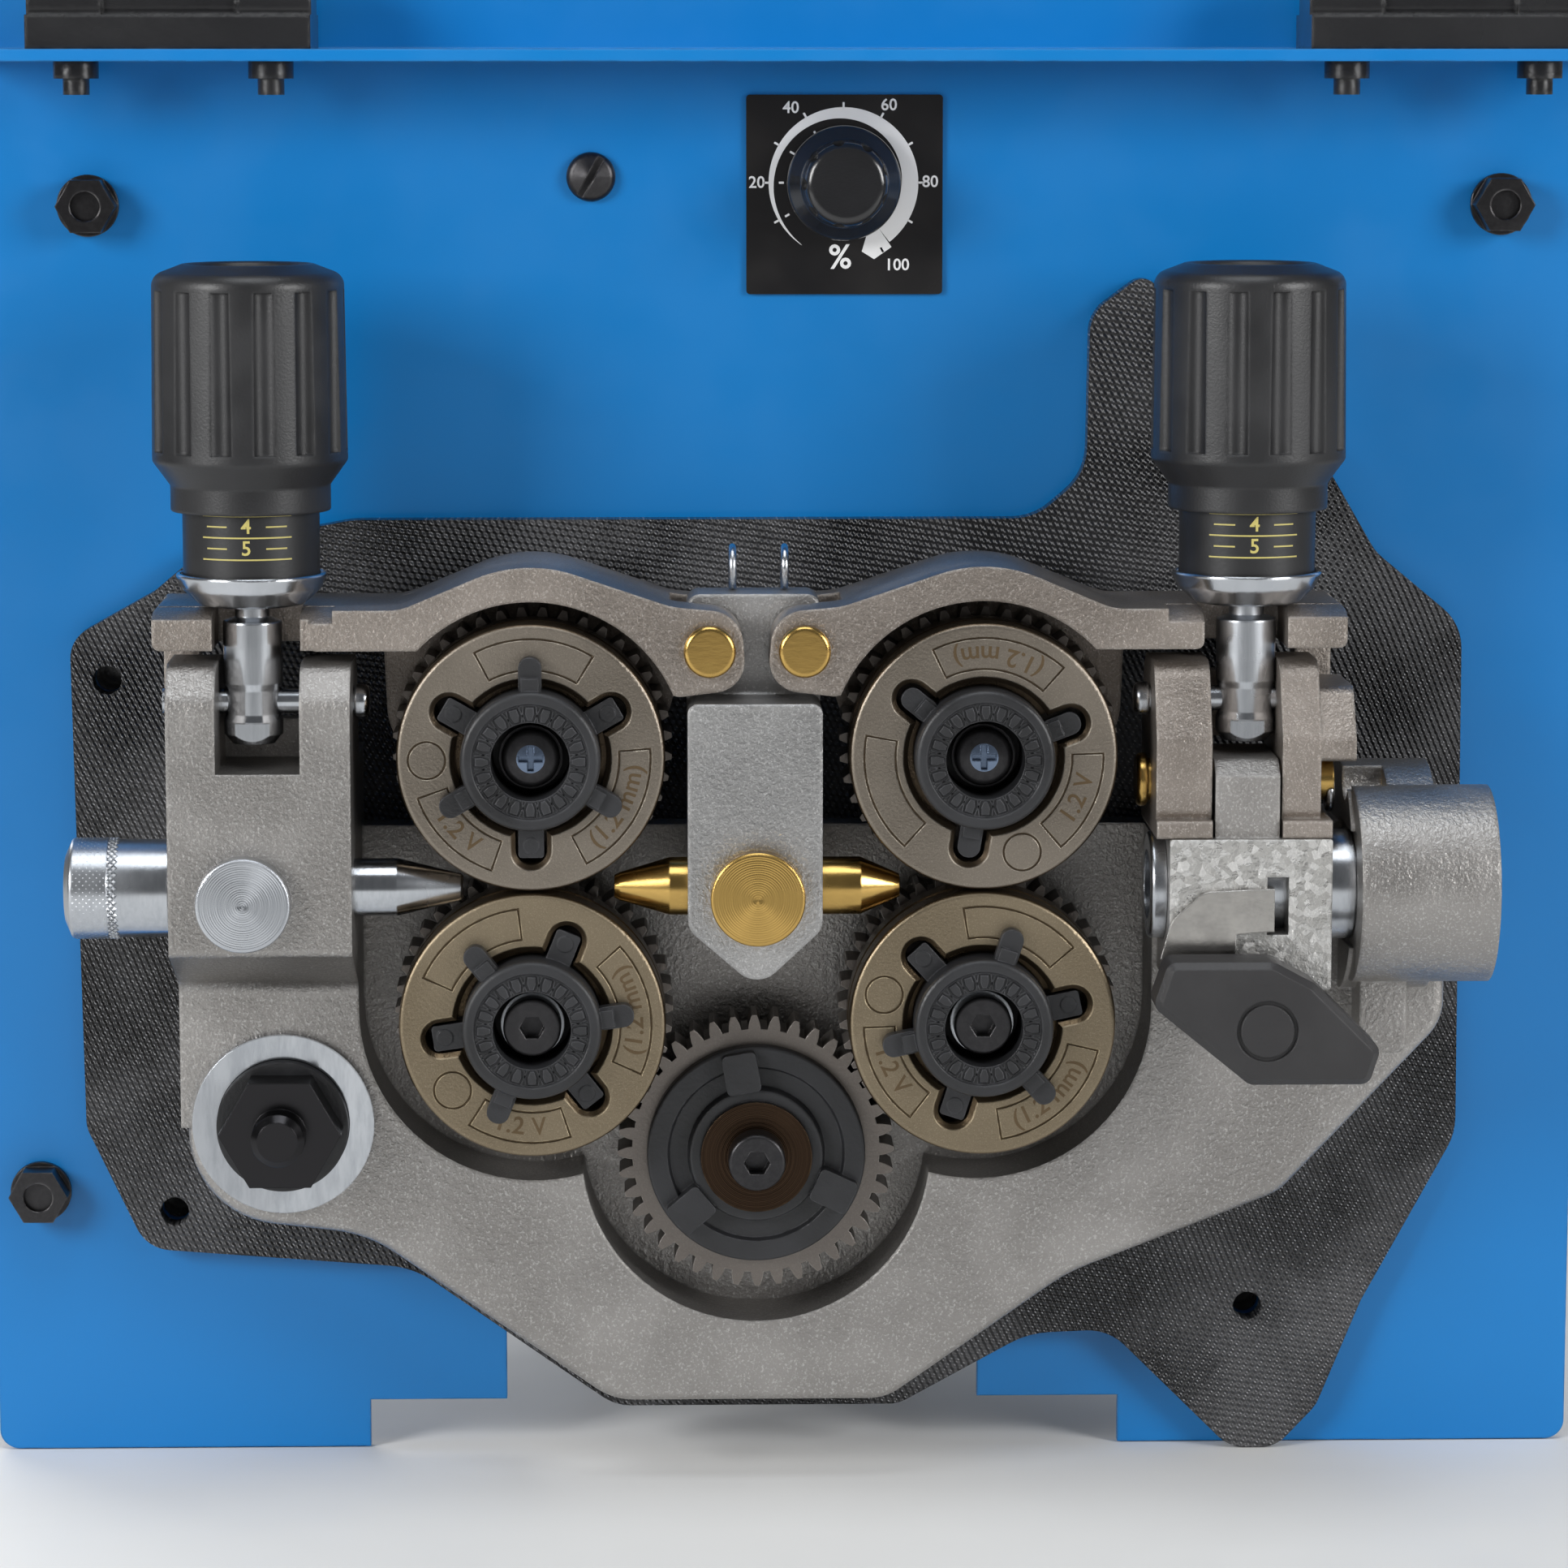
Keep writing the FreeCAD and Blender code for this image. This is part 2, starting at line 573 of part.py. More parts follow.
def roll_carrier(name, centre, tabs, fingers, finger_back):
    """Moulded hub: journal sleeve, front ring, locking tabs and three hooked fingers."""
    sleeve = cylinder("roll_bore / 2 - 2.3", 10.5, (centre[0], 15.6, centre[1]))
    nose = turned([(0, 26), (10.3, 26), (10.3, 42.3, 0.8), (8.6, 42.3, 0.2), (8.4, 41.9), (0, 41.9)],
                  (centre[0], 0, centre[1]), FRONT)
    wings = []
    for angle in tabs:
        wings += copies(lambda: slab(rounded(rounded_box(9.2, -1.9, 14.9, 1.9, 0.5)), 35, 37.3),
                        [angle], centre)
        wings += copies(lambda: cylinder(1.2, 0.25, (13.1, 37.2, 0)), [angle], centre)
    for angle in fingers:
        wings += copies(lambda: slab(rounded(rounded_box(9.2, -1.7, 15.2, 1.7, 1.6)),
                                     finger_back, finger_back + 2.2), [angle], centre)
        wings += copies(lambda: box(3, 1.4, 2.6, (9.2, finger_back + 3.1, -1.3)), [angle], centre)
    bores = [cylinder("axle_dia / 2 + journal_play", 30, (centre[0], 10, centre[1])),
             cylinder("hub_bore / 2", 20, (centre[0], 30, centre[1]))]
    keep(name, cut(fuse(sleeve, nose, *wings), *bores))


def roll_axle(x, z, back):
    """Fixed axle pin with its collar and retaining screw."""
    journal = cylinder("axle_dia / 2", "axle_front - (%s)" % back, (x, back, z))
    return fuse(journal, cylinder("axle_dia / 2 + 0.7", 1.2, (x, "axle_front", z)))


def cross_recess(x, z, front):
    """Cross-head recess, pointing into the head."""
    return [box(3.6, 2, 0.9, (x - 1.8, front + 0.5, z - 0.45)),
            box(0.9, 2, 3.6, (x - 0.45, front + 0.5, z - 1.8))]


def stations():
    """Drive gear and the four driven roll stations, all five gears in mesh."""
    x, z = size("station_x"), size("station_z")
    upper_z = z + size("gear_teeth") * size("gear_module")
    hub = "roll_bore / 2 - 2.3"
    first = 0.6
    gear("drive_gear", (0, 0), first, 5)
    face = size("roll_back") + size("roll_width")
    locked, seated = face + 0.15, face - 2.6
    # hand, place across, then each level's first slot, first finger and the finger's stand-off
    layout = [("left", -x, (68, 128, locked), (30, 90, locked)),
              ("right", x, (12, 72, locked), (141, 141, seated))]
    for hand, across, low, high in layout:
        direction = math.degrees(math.atan2(z, across))
        low_phase = mesh_phase(direction, first)
        gear("lower_%s_gear" % hand, (across, z), low_phase, hub)
        gear("upper_%s_gear" % hand, (across, upper_z), mesh_phase(90, low_phase), hub)
        for level, height, (slot, finger, back) in (("lower", z, low), ("upper", upper_z, high)):
            feed_roll("%s_%s_roll" % (level, hand), (across, height), slot)
            tabs = thirds(slot) if slot != finger else []
            roll_carrier("%s_%s_carrier" % (level, hand), (across, height), tabs, thirds(finger), back)


def lower_axles():
    pins = [roll_axle(x, "station_z", "insulator_thick") for x in ("-station_x", "station_x")]
    keep("lower_axles", group(*pins))
    heads = []
    for x in ("-station_x", "station_x"):
        head = turned([(0, 36.2), (4.3, 36.2), (4.3, 39.6, 0.5), (0, 39.6)], (x, 0, "station_z"), FRONT)
        heads.append(cut(head, hexagon(3.2, 3, (x, 37.2, "station_z"))))
    keep("lower_screws", group(*heads))


def upper_axle(name, x):
    """Upper axle pin, free to turn in its arm, with a cross-head screw."""
    z = size("station_z") + size("gear_teeth") * size("gear_module")
    head = turned([(0, 36.2), (4.3, 36.2), (4.3, 38.2, 1), (0, 39)], (x, 0, z), FRONT)
    keep(name, cut(fuse(roll_axle(x, z, "arm_back"), head), *cross_recess(x, z, 39)))


def drive_train():
    """Motor shaft with its bronze collar, the black hub disc and its socket screw."""
    shaft = cylinder(5, 46, (0, -20, 0))
    keep("drive_shaft", fuse(shaft, cylinder(8.4, 2.6, (0, 26, 0))))
    disc = turned([(5, 24), (16.5, 24), (16.5, 26.4, 0.5), (13.4, 26.4), (13, 25.4), (10.4, 25.4),
                   (10, 27.4, 0.4), (8.4, 27.4), (8.4, 26), (5, 26)], (0, 0, 0), FRONT)
    tabs = copies(lambda: slab(rounded(rounded_box(9.8, -2.6, 15.9, 2.6, 0.8)), 25, 28.4),
                  (100, -25, 220), (0, 0))
    keep("drive_carrier", fuse(disc, *tabs))
    head = turned([(0, 28.6), (4.3, 28.6), (4.3, 33, 0.6), (0, 33)], (0, 0, 0), FRONT)
    keep("drive_screw", cut(head, hexagon(3.4, 4, (0, 30, 0))))


# ---------------------------------------------------------------- pressure arms

def mirrored_corners(corners, hand):
    """Corners drawn for the left arm, flipped for the right one."""
    return [(x * hand, z, radius) for x, z, radius in corners]


def pressure_arm(name, hand, rod_x):
    """Cast arm: arch over the gear, axle web behind it, pivot lobes and rod fork."""
    pivot = size("pivot_x")
    axle = (-size("station_x") * hand, size("station_z") + 40)
    low, top = size("fork_low"), size("fork_top")
    gap_in, gap_out = abs(rod_x) - 7.4, abs(rod_x) + 5.6
    end = gap_out + 8.8
    arch = [(-66, low, 1.2), (-66, top, 0.5), (-52.6, top, 9), (-34.2, 91.4, 21), (-12.5, 84.1, 12),
            (-2.4, 83.2, 5), (-1.5, 72, 4.6), (-11.4, 70.8, 1.4), (-22, 73, 0), (-40, low, 0)]
    web = [(-56, low, 0), (-55.4, 64, 9), (-46, 50.5, 9), (-24, 50.5, 9), (-13, 66, 6), (-11.4, 71, 0),
           (-12.4, 84, 2), (-34, 89, 20), (-56, 83, 2)]
    back_lobe = [(-16, 71.8, 0), (-2, 71.8, 5.2), (-1.4, 83.2, 5.2), (-16, 84, 0)]
    solids = [
        slab(rounded(mirrored_corners(arch, hand)), "arm_back", "arm_front"),
        slab(rounded(mirrored_corners(web, hand)), "arm_back", "arm_web_front"),
        slab(rounded(mirrored_corners(back_lobe, hand)), "arm_back", "arm_web_front"),
    ]
    cavity = cylinder("arch_radius", 40, (axle[0], "arm_web_front", axle[1]))
    post_gap = box(13.4, 10.8, 20, (-12.8 if hand > 0 else -0.6, 26.8, 66))
    arm_body = cut(fuse(*solids), cavity, post_gap)
    beam = [(-end, low, 1.2), (-end, top, 0.8), (-60, top, 0), (-60, low, 0)]
    fork = cut(slab(rounded(mirrored_corners(beam, hand)), 15, "fork_front"),
               box(gap_out - gap_in, 14, 10, (-gap_out if hand > 0 else gap_in, 36, low - 1)))
    leg = slab(rounded(mirrored_corners([(-end, 66.9, 1), (-end, low + 1, 0), (-end + 5.4, low + 1, 0),
                                         (-end + 5.4, 66.9, 1)], hand)), "arm_back", 15.6)
    step = slab(rounded(mirrored_corners([(-end, low, 0), (-end, top, 0.5), (-60, top, 0), (-60, low, 0)],
                                         hand)), "arm_back", 15)
    boss = cylinder(7.4, "arm_web_front + 0.4 - arm_back", (axle[0], "arm_back", axle[1]))
    reach = "cup_low - clevis_z - 0.4"
    cup_side = abs(rod_x) - 12.2
    crown = cut(box(60, 8, 24, (-100 if hand > 0 else 40, "rod_out + 8", "clevis_z")),
                cylinder(reach, 80, (-110 if hand > 0 else 30, "rod_out", "clevis_z"), RIGHT),
                box(60, 12, 30, (-cup_side if hand > 0 else cup_side - 60, "rod_out + 10", "clevis_z - 2")))
    bores = [cylinder("pivot_pin_dia / 2 + 0.06", 40, (-pivot * hand, 5, "pivot_z")),
             cylinder("axle_dia / 2 + journal_play", 20, (axle[0], 5, axle[1]))]
    keep(name, cut(fuse(arm_body, fork, step, leg, boss), crown, *bores))


def guide_post():
    """Centre post between the rolls: carries the arm pivots and the middle guide."""
    lower = slab(rounded([(-10.3, 70, 1.5), (-10.3, 36.5, 3), (0, 27.6, 4), (9.6, 36.5, 3), (9.6, 70, 1.5)]),
                 "rim_front - 8", "post_front")
    foot = slab(rounded([(-8.6, 46, 0), (-8.6, 35.4, 2), (0, 28.4, 2), (8, 35.4, 2), (8, 46, 0)]),
                "floor_front", 17)
    upper = slab(rounded([(-10.3, 60, 0), (9.6, 60, 0), (9.6, 85, 2), (-10.3, 85, 2)]), 16.4, 26.2)
    bores = [cylinder("pivot_pin_dia / 2", 40, (x, 5, "pivot_z")) for x in ("pivot_x", "-pivot_x")]
    bores += [cylinder(4.3, 40, (-20, "wire_out", "wire_z"), RIGHT),
              cylinder(2.6, 20, (0, "wire_out", "wire_z - 0.6"))]
    keep("guide_post", cut(fuse(lower, foot, upper), *bores))


def arm_pivots():
    pins, clips = [], []
    for x in ("-pivot_x", "pivot_x"):
        shank = cylinder("pivot_pin_dia / 2", 30, (x, 8, "pivot_z"))
        head = turned([(0, 36.2), (3.85, 36.2), (3.85, 38, 0.7), (0, 38)], (x, 0, "pivot_z"), FRONT)
        pins.append(fuse(shank, head))
        clips.append(ring("pivot_pin_dia / 2 + 0.5", 0.5, (x, 9, "pivot_z")))
    keep("arm_pivot_pins", group(*pins))
    loops = [ring(2.9, 0.6, (x, 20, 88.5), RIGHT) for x in (-3.4, 4.4)]
    sealing = ring(2.4, 0.6, (85.6, "rod_out", 55.4), RIGHT)
    keep("retaining_clips", group(*clips, *loops, sealing))


def wire_guides():
    """Brass middle guide, zinc inlet guide and the screws that hold them."""
    middle = turned([(0.9, -21.2), (1.7, -21.2), (2.1, -20.4), (4.3, -13), (4.3, 15.4), (2.1, 20.4),
                     (1.7, 21.2), (0.9, 21.2)], (0, "wire_out", "wire_z"), RIGHT)
    keep("middle_guide", middle)
    inlet = turned([(1.2, -102.4), (5.2, -102.4), (7.5, -101.4, 0.6), (7.5, -96, 0.4), (7.3, -95.6),
                    (7.3, -86.9), (4.3, -86.9), (4.3, -53.4), (2, -44), (1.6, -43.6), (1.2, -43.6)],
                   (0, "wire_out", "wire_z"), RIGHT)
    keep("inlet_guide", inlet)
    head = [(0, 0), (7, 0, 0.4), (7, 3.4, 0.4), (0, 3.6)]
    keep("guide_screw", turned(head, (0, "post_front", "wire_z - 0.6"), FRONT))
    keep("inlet_screw", turned(head, ("left_rod_x - 1", "block_front", "wire_z - 1"), FRONT))


# ---------------------------------------------------------------- tension units

def tension_unit(hand, x):
    """Swing rod, spring seat cup, scale barrel, spring, thrust washer and knob."""
    at = (x, "rod_out", 0)
    low = size("rod_low")
    neck = 2.6
    rod = turned([(0, low), (3.2, low), (4.4, low + 1.4), (4.4, low + 3.4), (4.1, low + 4.4),
                  (4.1, low + 8), (4.4, low + 9), (4.4, 81.6, 0.4), (neck, 82.2), (neck, 124),
                  (0, 124)], at)
    eye = cylinder("clevis_pin_dia / 2 + 0.06", 20, ("%s - 10" % x, "rod_out", "clevis_z"), RIGHT)
    flat = box(5.6, 2, 4.2, ("%s - 2.8" % x, "rod_out + 5.6", low - 1))
    keep("%s_rod" % hand, cut(rod, eye, flat))
    foot, rim = size("cup_foot_dia") / 2, size("cup_dia") / 2
    cup = turned([(2.75, 84), (foot, 84, 1.6), (rim - 1.2, 86.4, 1.6), (rim, 88.8, 0.4), (rim - 0.8, 88.8),
                  (rim - 1.2, 86.9), (2.75, 86.9)], at)
    keep("%s_cup" % hand, cup)
    wall = size("barrel_dia") / 2
    keep("%s_barrel" % hand, turned([(2.75, 86.9), (wall - 0.4, 86.9), (wall, 87.6), (wall, 106, 0.5),
                                     (wall - 1.4, 106), (wall - 1.4, 88.6), (2.75, 88.6)], at))
    keep("%s_spring" % hand, place(fixed_shape(spring()), (x, "rod_out", 90.1)))
    keep("%s_washer" % hand, turned([(2.75, 119.1), (7.9, 119.1, 0.3), (7.9, 120.6, 0.3), (2.75, 120.6)], at))
    keep("%s_knob" % hand, knob(x))


def spring():
    """Compression spring of six coils; its wire's middle line starts at local z = 0."""
    height, coil, wire = 29.6, size("spring_dia") / 2 - 1.1, 1.05
    helix = Part.makeHelix((height - 2 * wire) / 6.0, height - 2 * wire, coil)
    profile = Part.Wire(Part.makeCircle(wire, Vector(coil, 0, 0), Vector(0, 1, 0)))
    return Part.Wire(helix).makePipeShell([profile], True, True)


def knob(x):
    """Fluted adjuster knob with a skirt that covers the scale."""
    top, low, grip = size("knob_high"), size("knob_low"), size("grip_low")
    radius, skirt, bore = size("knob_dia") / 2, size("skirt_dia") / 2, size("skirt_bore") / 2
    skin = turned([(2.66, 121), (8.6, 121), (8.6, 112.2), (bore, 112.2), (bore, low), (skirt, low, 0.3),
                   (skirt, low + 3.8, 0.4), (radius, grip, 1), (radius - 0.3, top - 2, 2.2),
                   (radius - 5.5, top, 1), (radius - 6, top - 1.2), (2.66, top - 1.2)], (x, "rod_out", 0))
    flutes = []
    for step in range(14):
        turn = math.radians(step * 360 / 14)
        reach = radius + 0.9
        out = "rod_out + %g" % (reach * math.sin(turn))
        across = "%s + %g" % (x, reach * math.cos(turn))
        flutes.append(cylinder(1.9, top - grip - 5.5, (across, out, grip + 1.5), UPRIGHT))
    return cut(skin, *flutes)


def clevis_pins():
    left = cylinder("clevis_pin_dia / 2", 29.4, (-88, "rod_out", "clevis_z"), RIGHT)
    left_end = turned([(0, 0), (2.5, 0, 0.3), (2.5, 2.2, 1), (0, 2.2)],
                      (-59.6, "rod_out", "clevis_z"), RIGHT)
    keep("left_clevis_pin", fuse(left, left_end))
    right = cylinder("clevis_pin_dia / 2", 25.6, (57.9, "rod_out", "clevis_z"), RIGHT)
    right_end = turned([(0, 0), (2.5, 0, 1), (2.5, 2.2, 0.3), (0, 2.2)],
                       (56.2, "rod_out", "clevis_z"), RIGHT)
    keep("right_clevis_pin", fuse(right, right_end))
    brass = fuse(cylinder(3.2, 29, (57, "rod_out", 57.4), RIGHT),
                 turned([(0, 0), (4, 0, 0.8), (4, 1.7, 0.5), (0, 1.7)], (56.6, "rod_out", 57.4), RIGHT))
    keep("bracket_pin", cut(brass, ring(2.4, 0.7, (85.6, "rod_out", 55.4), RIGHT)))


# ---------------------------------------------------------------- gun clamp

def clamp_bracket():
    """Separate cast bracket straddling the tongue, with its own clevis ears."""
    ear = side([(16.5, 51, 2), (38.6, 51, 2), (40.4, 54, 2), (40.4, 64.8, 2), (35, 75.8, 4.5),
                (20, 75.8, 5), (16.5, 66, 3)])
    foot = side([(16.5, 50.2, 0), (42, 50.2, 0.5), (42, 52.9, 0.5), (16.5, 52.9, 0)])
    ears = [side_slab(ear, 58.7, 66.9), side_slab(ear, 77.3, 83)]
    lug = side_slab(side([(17, 61.4, 0), (40.4, 61.4, 1), (40.4, 64.6, 1), (35.4, 72, 3),
                          (17, 72, 3)]), 82, 88.2)
    feet = [side_slab(foot, 58.7, 66.9), side_slab(foot, 77.3, 84.6)]
    bridge = box(20, 3.4, 10, (60, 17.4, 62.4))
    holes = [cylinder(3.2, 40, (50, "rod_out", 57.4), RIGHT),
             cylinder("clevis_pin_dia / 2", 40, (50, "rod_out", "clevis_z"), RIGHT)]
    keep("clamp_bracket", cut(fuse(*ears, lug, *feet, bridge), *holes))


def clamp_latch():
    """Spring-steel leaf lying on the clamp block, its lip bent into the slot."""
    leaf = slab(rounded([(59.2, 32.6, 0), (60.8, 38.4, 4), (65.6, 42.6, 3), (75.1, 43, 0),
                         (75.1, 36.6, 0), (70.4, 36.2, 0), (70.4, 32.6, 0)]),
                "clamp_front", "clamp_front + 0.9")
    lip = slab(rounded([(75.1, 36.6, 0), (76, 36.6, 0), (76, 43, 0), (75.1, 43, 0)]),
               "clamp_front - 2.2", "clamp_front + 0.9")
    keep("clamp_latch", fuse(leaf, lip))


def clamp_handle():
    """Angular T-handle with a raised edge, round boss groove and threaded stud."""
    outline = [(57.4, 27, 1.8), (59.6, 33.6, 1.8), (75, 33.6, 3), (81, 30.4, 2), (90.8, 20.6, 1.8),
               (89.2, 15.4, 1.8), (71.6, 15.4, 2)]
    grip = slab(rounded(outline), "handle_back", "handle_front")
    pad = grip.Tip
    doc.recompute()
    edges = ["Edge%d" % number for number, edge in enumerate(pad.Shape.Edges, 1)
             if edge.BoundBox.YLength < 1e-6 and abs(edge.BoundBox.YMin + size("handle_front")) < 1e-6]
    bevel = grip.newObject("PartDesign::Chamfer", "Bevel")
    bevel.Base = (pad, edges)
    bevel.Size = 1
    grip.Tip = bevel
    groove = cut(cylinder(4.5, 1, ("handle_x", "handle_front - 0.5", "handle_z")),
                 cylinder(3.9, 2, ("handle_x", "handle_front - 1", "handle_z")))
    stud = cylinder(3, 27, ("handle_x", 18.4, "handle_z"))
    keep("clamp_handle", fuse(cut(grip, groove), stud))


def receptacle_bush():
    """Threaded steel bush that lines the gun receptacle."""
    tube = turned([(5.2, 58.2), (8, 58.2, 0.6), (8, 60.5), (7.4, 60.5), (7.4, 84.7), (8.2, 84.7),
                   (8.2, 88.4), (7.4, 88.4), (7.4, 107.6, 0.6), (5.2, 107.6)],
                  (0, "wire_out", "wire_z"), RIGHT)
    keep("receptacle_bush", tube)


# ---------------------------------------------------------------- motor

def motor():
    """Gearbox and motor can with its end bell, behind the panel."""
    case = slab(rounded([(-32, -28, 10), (32, -28, 10), (35, 37, 10), (22, 54, 10), (-22, 54, 10),
                         (-35, 37, 10)]), "-panel_thick - gearbox_depth", "-panel_thick - 0.4")
    spigot = cylinder("spigot_dia / 2", 5.9, (0, -2.5, 0))
    keep("gearbox_housing", cut(fuse(case, spigot), cylinder(5.06, 30, (0, -24, 0))))
    back = "-panel_thick - gearbox_depth"
    can = cylinder("motor_dia / 2", "motor_length", (0, back, 20), BACK)
    bell = turned([(0, 0), (28.6, 0), (28.6, 9, 3), (12, 13, 2), (10, 16, 1), (0, 16)],
                  (0, "%s - motor_length" % back, 20), BACK)
    caps = [cylinder(4.6, 6, (x, "%s - motor_length - 4.5" % back, 20), turn)
            for x, turn in ((27.8, RIGHT), (-27.8, Rotation(Vector(0, 1, 0), -90)))]
    keep("drive_motor", fuse(can, bell, *caps))


# ---------------------------------------------------------------- build and export

chassis_panel()
door_hinges()
chassis_screws()
dial_plate()
speed_potentiometer()
speed_knob()
insulator_plate()
drive_housing()
mount_hardware()
stations()
lower_axles()
upper_axle("upper_left_axle", -size("station_x"))
upper_axle("upper_right_axle", size("station_x"))
drive_train()
pressure_arm("left_arm", 1, size("left_rod_x"))
pressure_arm("right_arm", -1, size("right_rod_x"))
guide_post()
arm_pivots()
wire_guides()
tension_unit("left", "left_rod_x")
tension_unit("right", "right_rod_x")
clevis_pins()
clamp_bracket()
clamp_latch()
clamp_handle()
receptacle_bush()
motor()
doc.recompute()

faults = ["%s (%s) did not rebuild" % (item.Name, item.Label)
          for item in doc.Objects if {"Invalid", "Error"} & set(item.State)]
faults += ["%s has no valid solid" % label for label, item in PARTS.items()
           if item.Shape.isNull() or not item.Shape.isValid() or not item.Shape.Solids]
if faults:
    raise RuntimeError("; ".join(faults))
os.makedirs("parts", exist_ok=True)
for label, item in PARTS.items():
    item.Shape.exportStep("parts/%s.step" % label)
print("%d sub-parts written" % len(PARTS))
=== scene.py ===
"""Finishes, printed scales and moulded detail for a four-roll wire feeder's drive bay."""

from __future__ import annotations

import json
import logging
import math
from collections.abc import Callable, Sequence
from dataclasses import dataclass, field, replace
from enum import Enum

import bmesh
import bpy
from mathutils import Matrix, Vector


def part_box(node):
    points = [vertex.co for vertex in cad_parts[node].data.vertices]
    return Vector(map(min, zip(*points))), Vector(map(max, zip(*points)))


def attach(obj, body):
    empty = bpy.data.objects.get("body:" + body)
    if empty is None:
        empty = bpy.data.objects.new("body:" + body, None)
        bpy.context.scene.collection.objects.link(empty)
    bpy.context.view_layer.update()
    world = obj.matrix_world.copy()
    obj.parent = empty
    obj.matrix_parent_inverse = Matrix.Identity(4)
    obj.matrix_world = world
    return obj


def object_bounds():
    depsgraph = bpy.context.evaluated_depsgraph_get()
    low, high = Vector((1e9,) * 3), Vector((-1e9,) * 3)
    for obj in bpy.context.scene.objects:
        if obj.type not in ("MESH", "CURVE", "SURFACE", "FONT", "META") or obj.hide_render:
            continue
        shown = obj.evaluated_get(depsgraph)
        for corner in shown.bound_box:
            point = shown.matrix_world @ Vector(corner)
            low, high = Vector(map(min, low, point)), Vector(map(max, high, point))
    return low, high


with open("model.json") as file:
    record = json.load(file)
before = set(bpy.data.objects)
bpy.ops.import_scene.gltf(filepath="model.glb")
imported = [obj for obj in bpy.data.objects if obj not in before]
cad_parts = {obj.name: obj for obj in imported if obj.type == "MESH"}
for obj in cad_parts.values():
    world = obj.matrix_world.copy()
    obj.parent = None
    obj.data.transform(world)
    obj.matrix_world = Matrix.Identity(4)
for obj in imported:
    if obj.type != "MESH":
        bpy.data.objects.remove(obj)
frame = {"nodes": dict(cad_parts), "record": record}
CAD_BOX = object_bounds()

logging.basicConfig(level=logging.INFO, format="%(message)s")
log = logging.getLogger("wire_feeder")

MM = 0.001
Colour = tuple[float, float, float]
Place = Callable[[float, float, float], Vector]
Socket = bpy.types.NodeSocket


class Texture(Enum):
    """What the making of a surface leaves on it."""

    BLASTED = "Blasted Grain"
    MOULDED = "Moulded Skin"
    BRUSHED = "Drawn Lines"
    TURNED = "Lathe Rings"
    WOVEN = "Woven Threads"
    SPRAYED = "Sprayed Coat"


class Level(Enum):
    """The two rows of feed rolls."""

    LOWER = "lower"
    UPPER = "upper"


class Hand(Enum):
    """The wire's inlet side and its gun side."""

    LEFT = "left"
    RIGHT = "right"


# ---------------------------------------------------------------- node trees


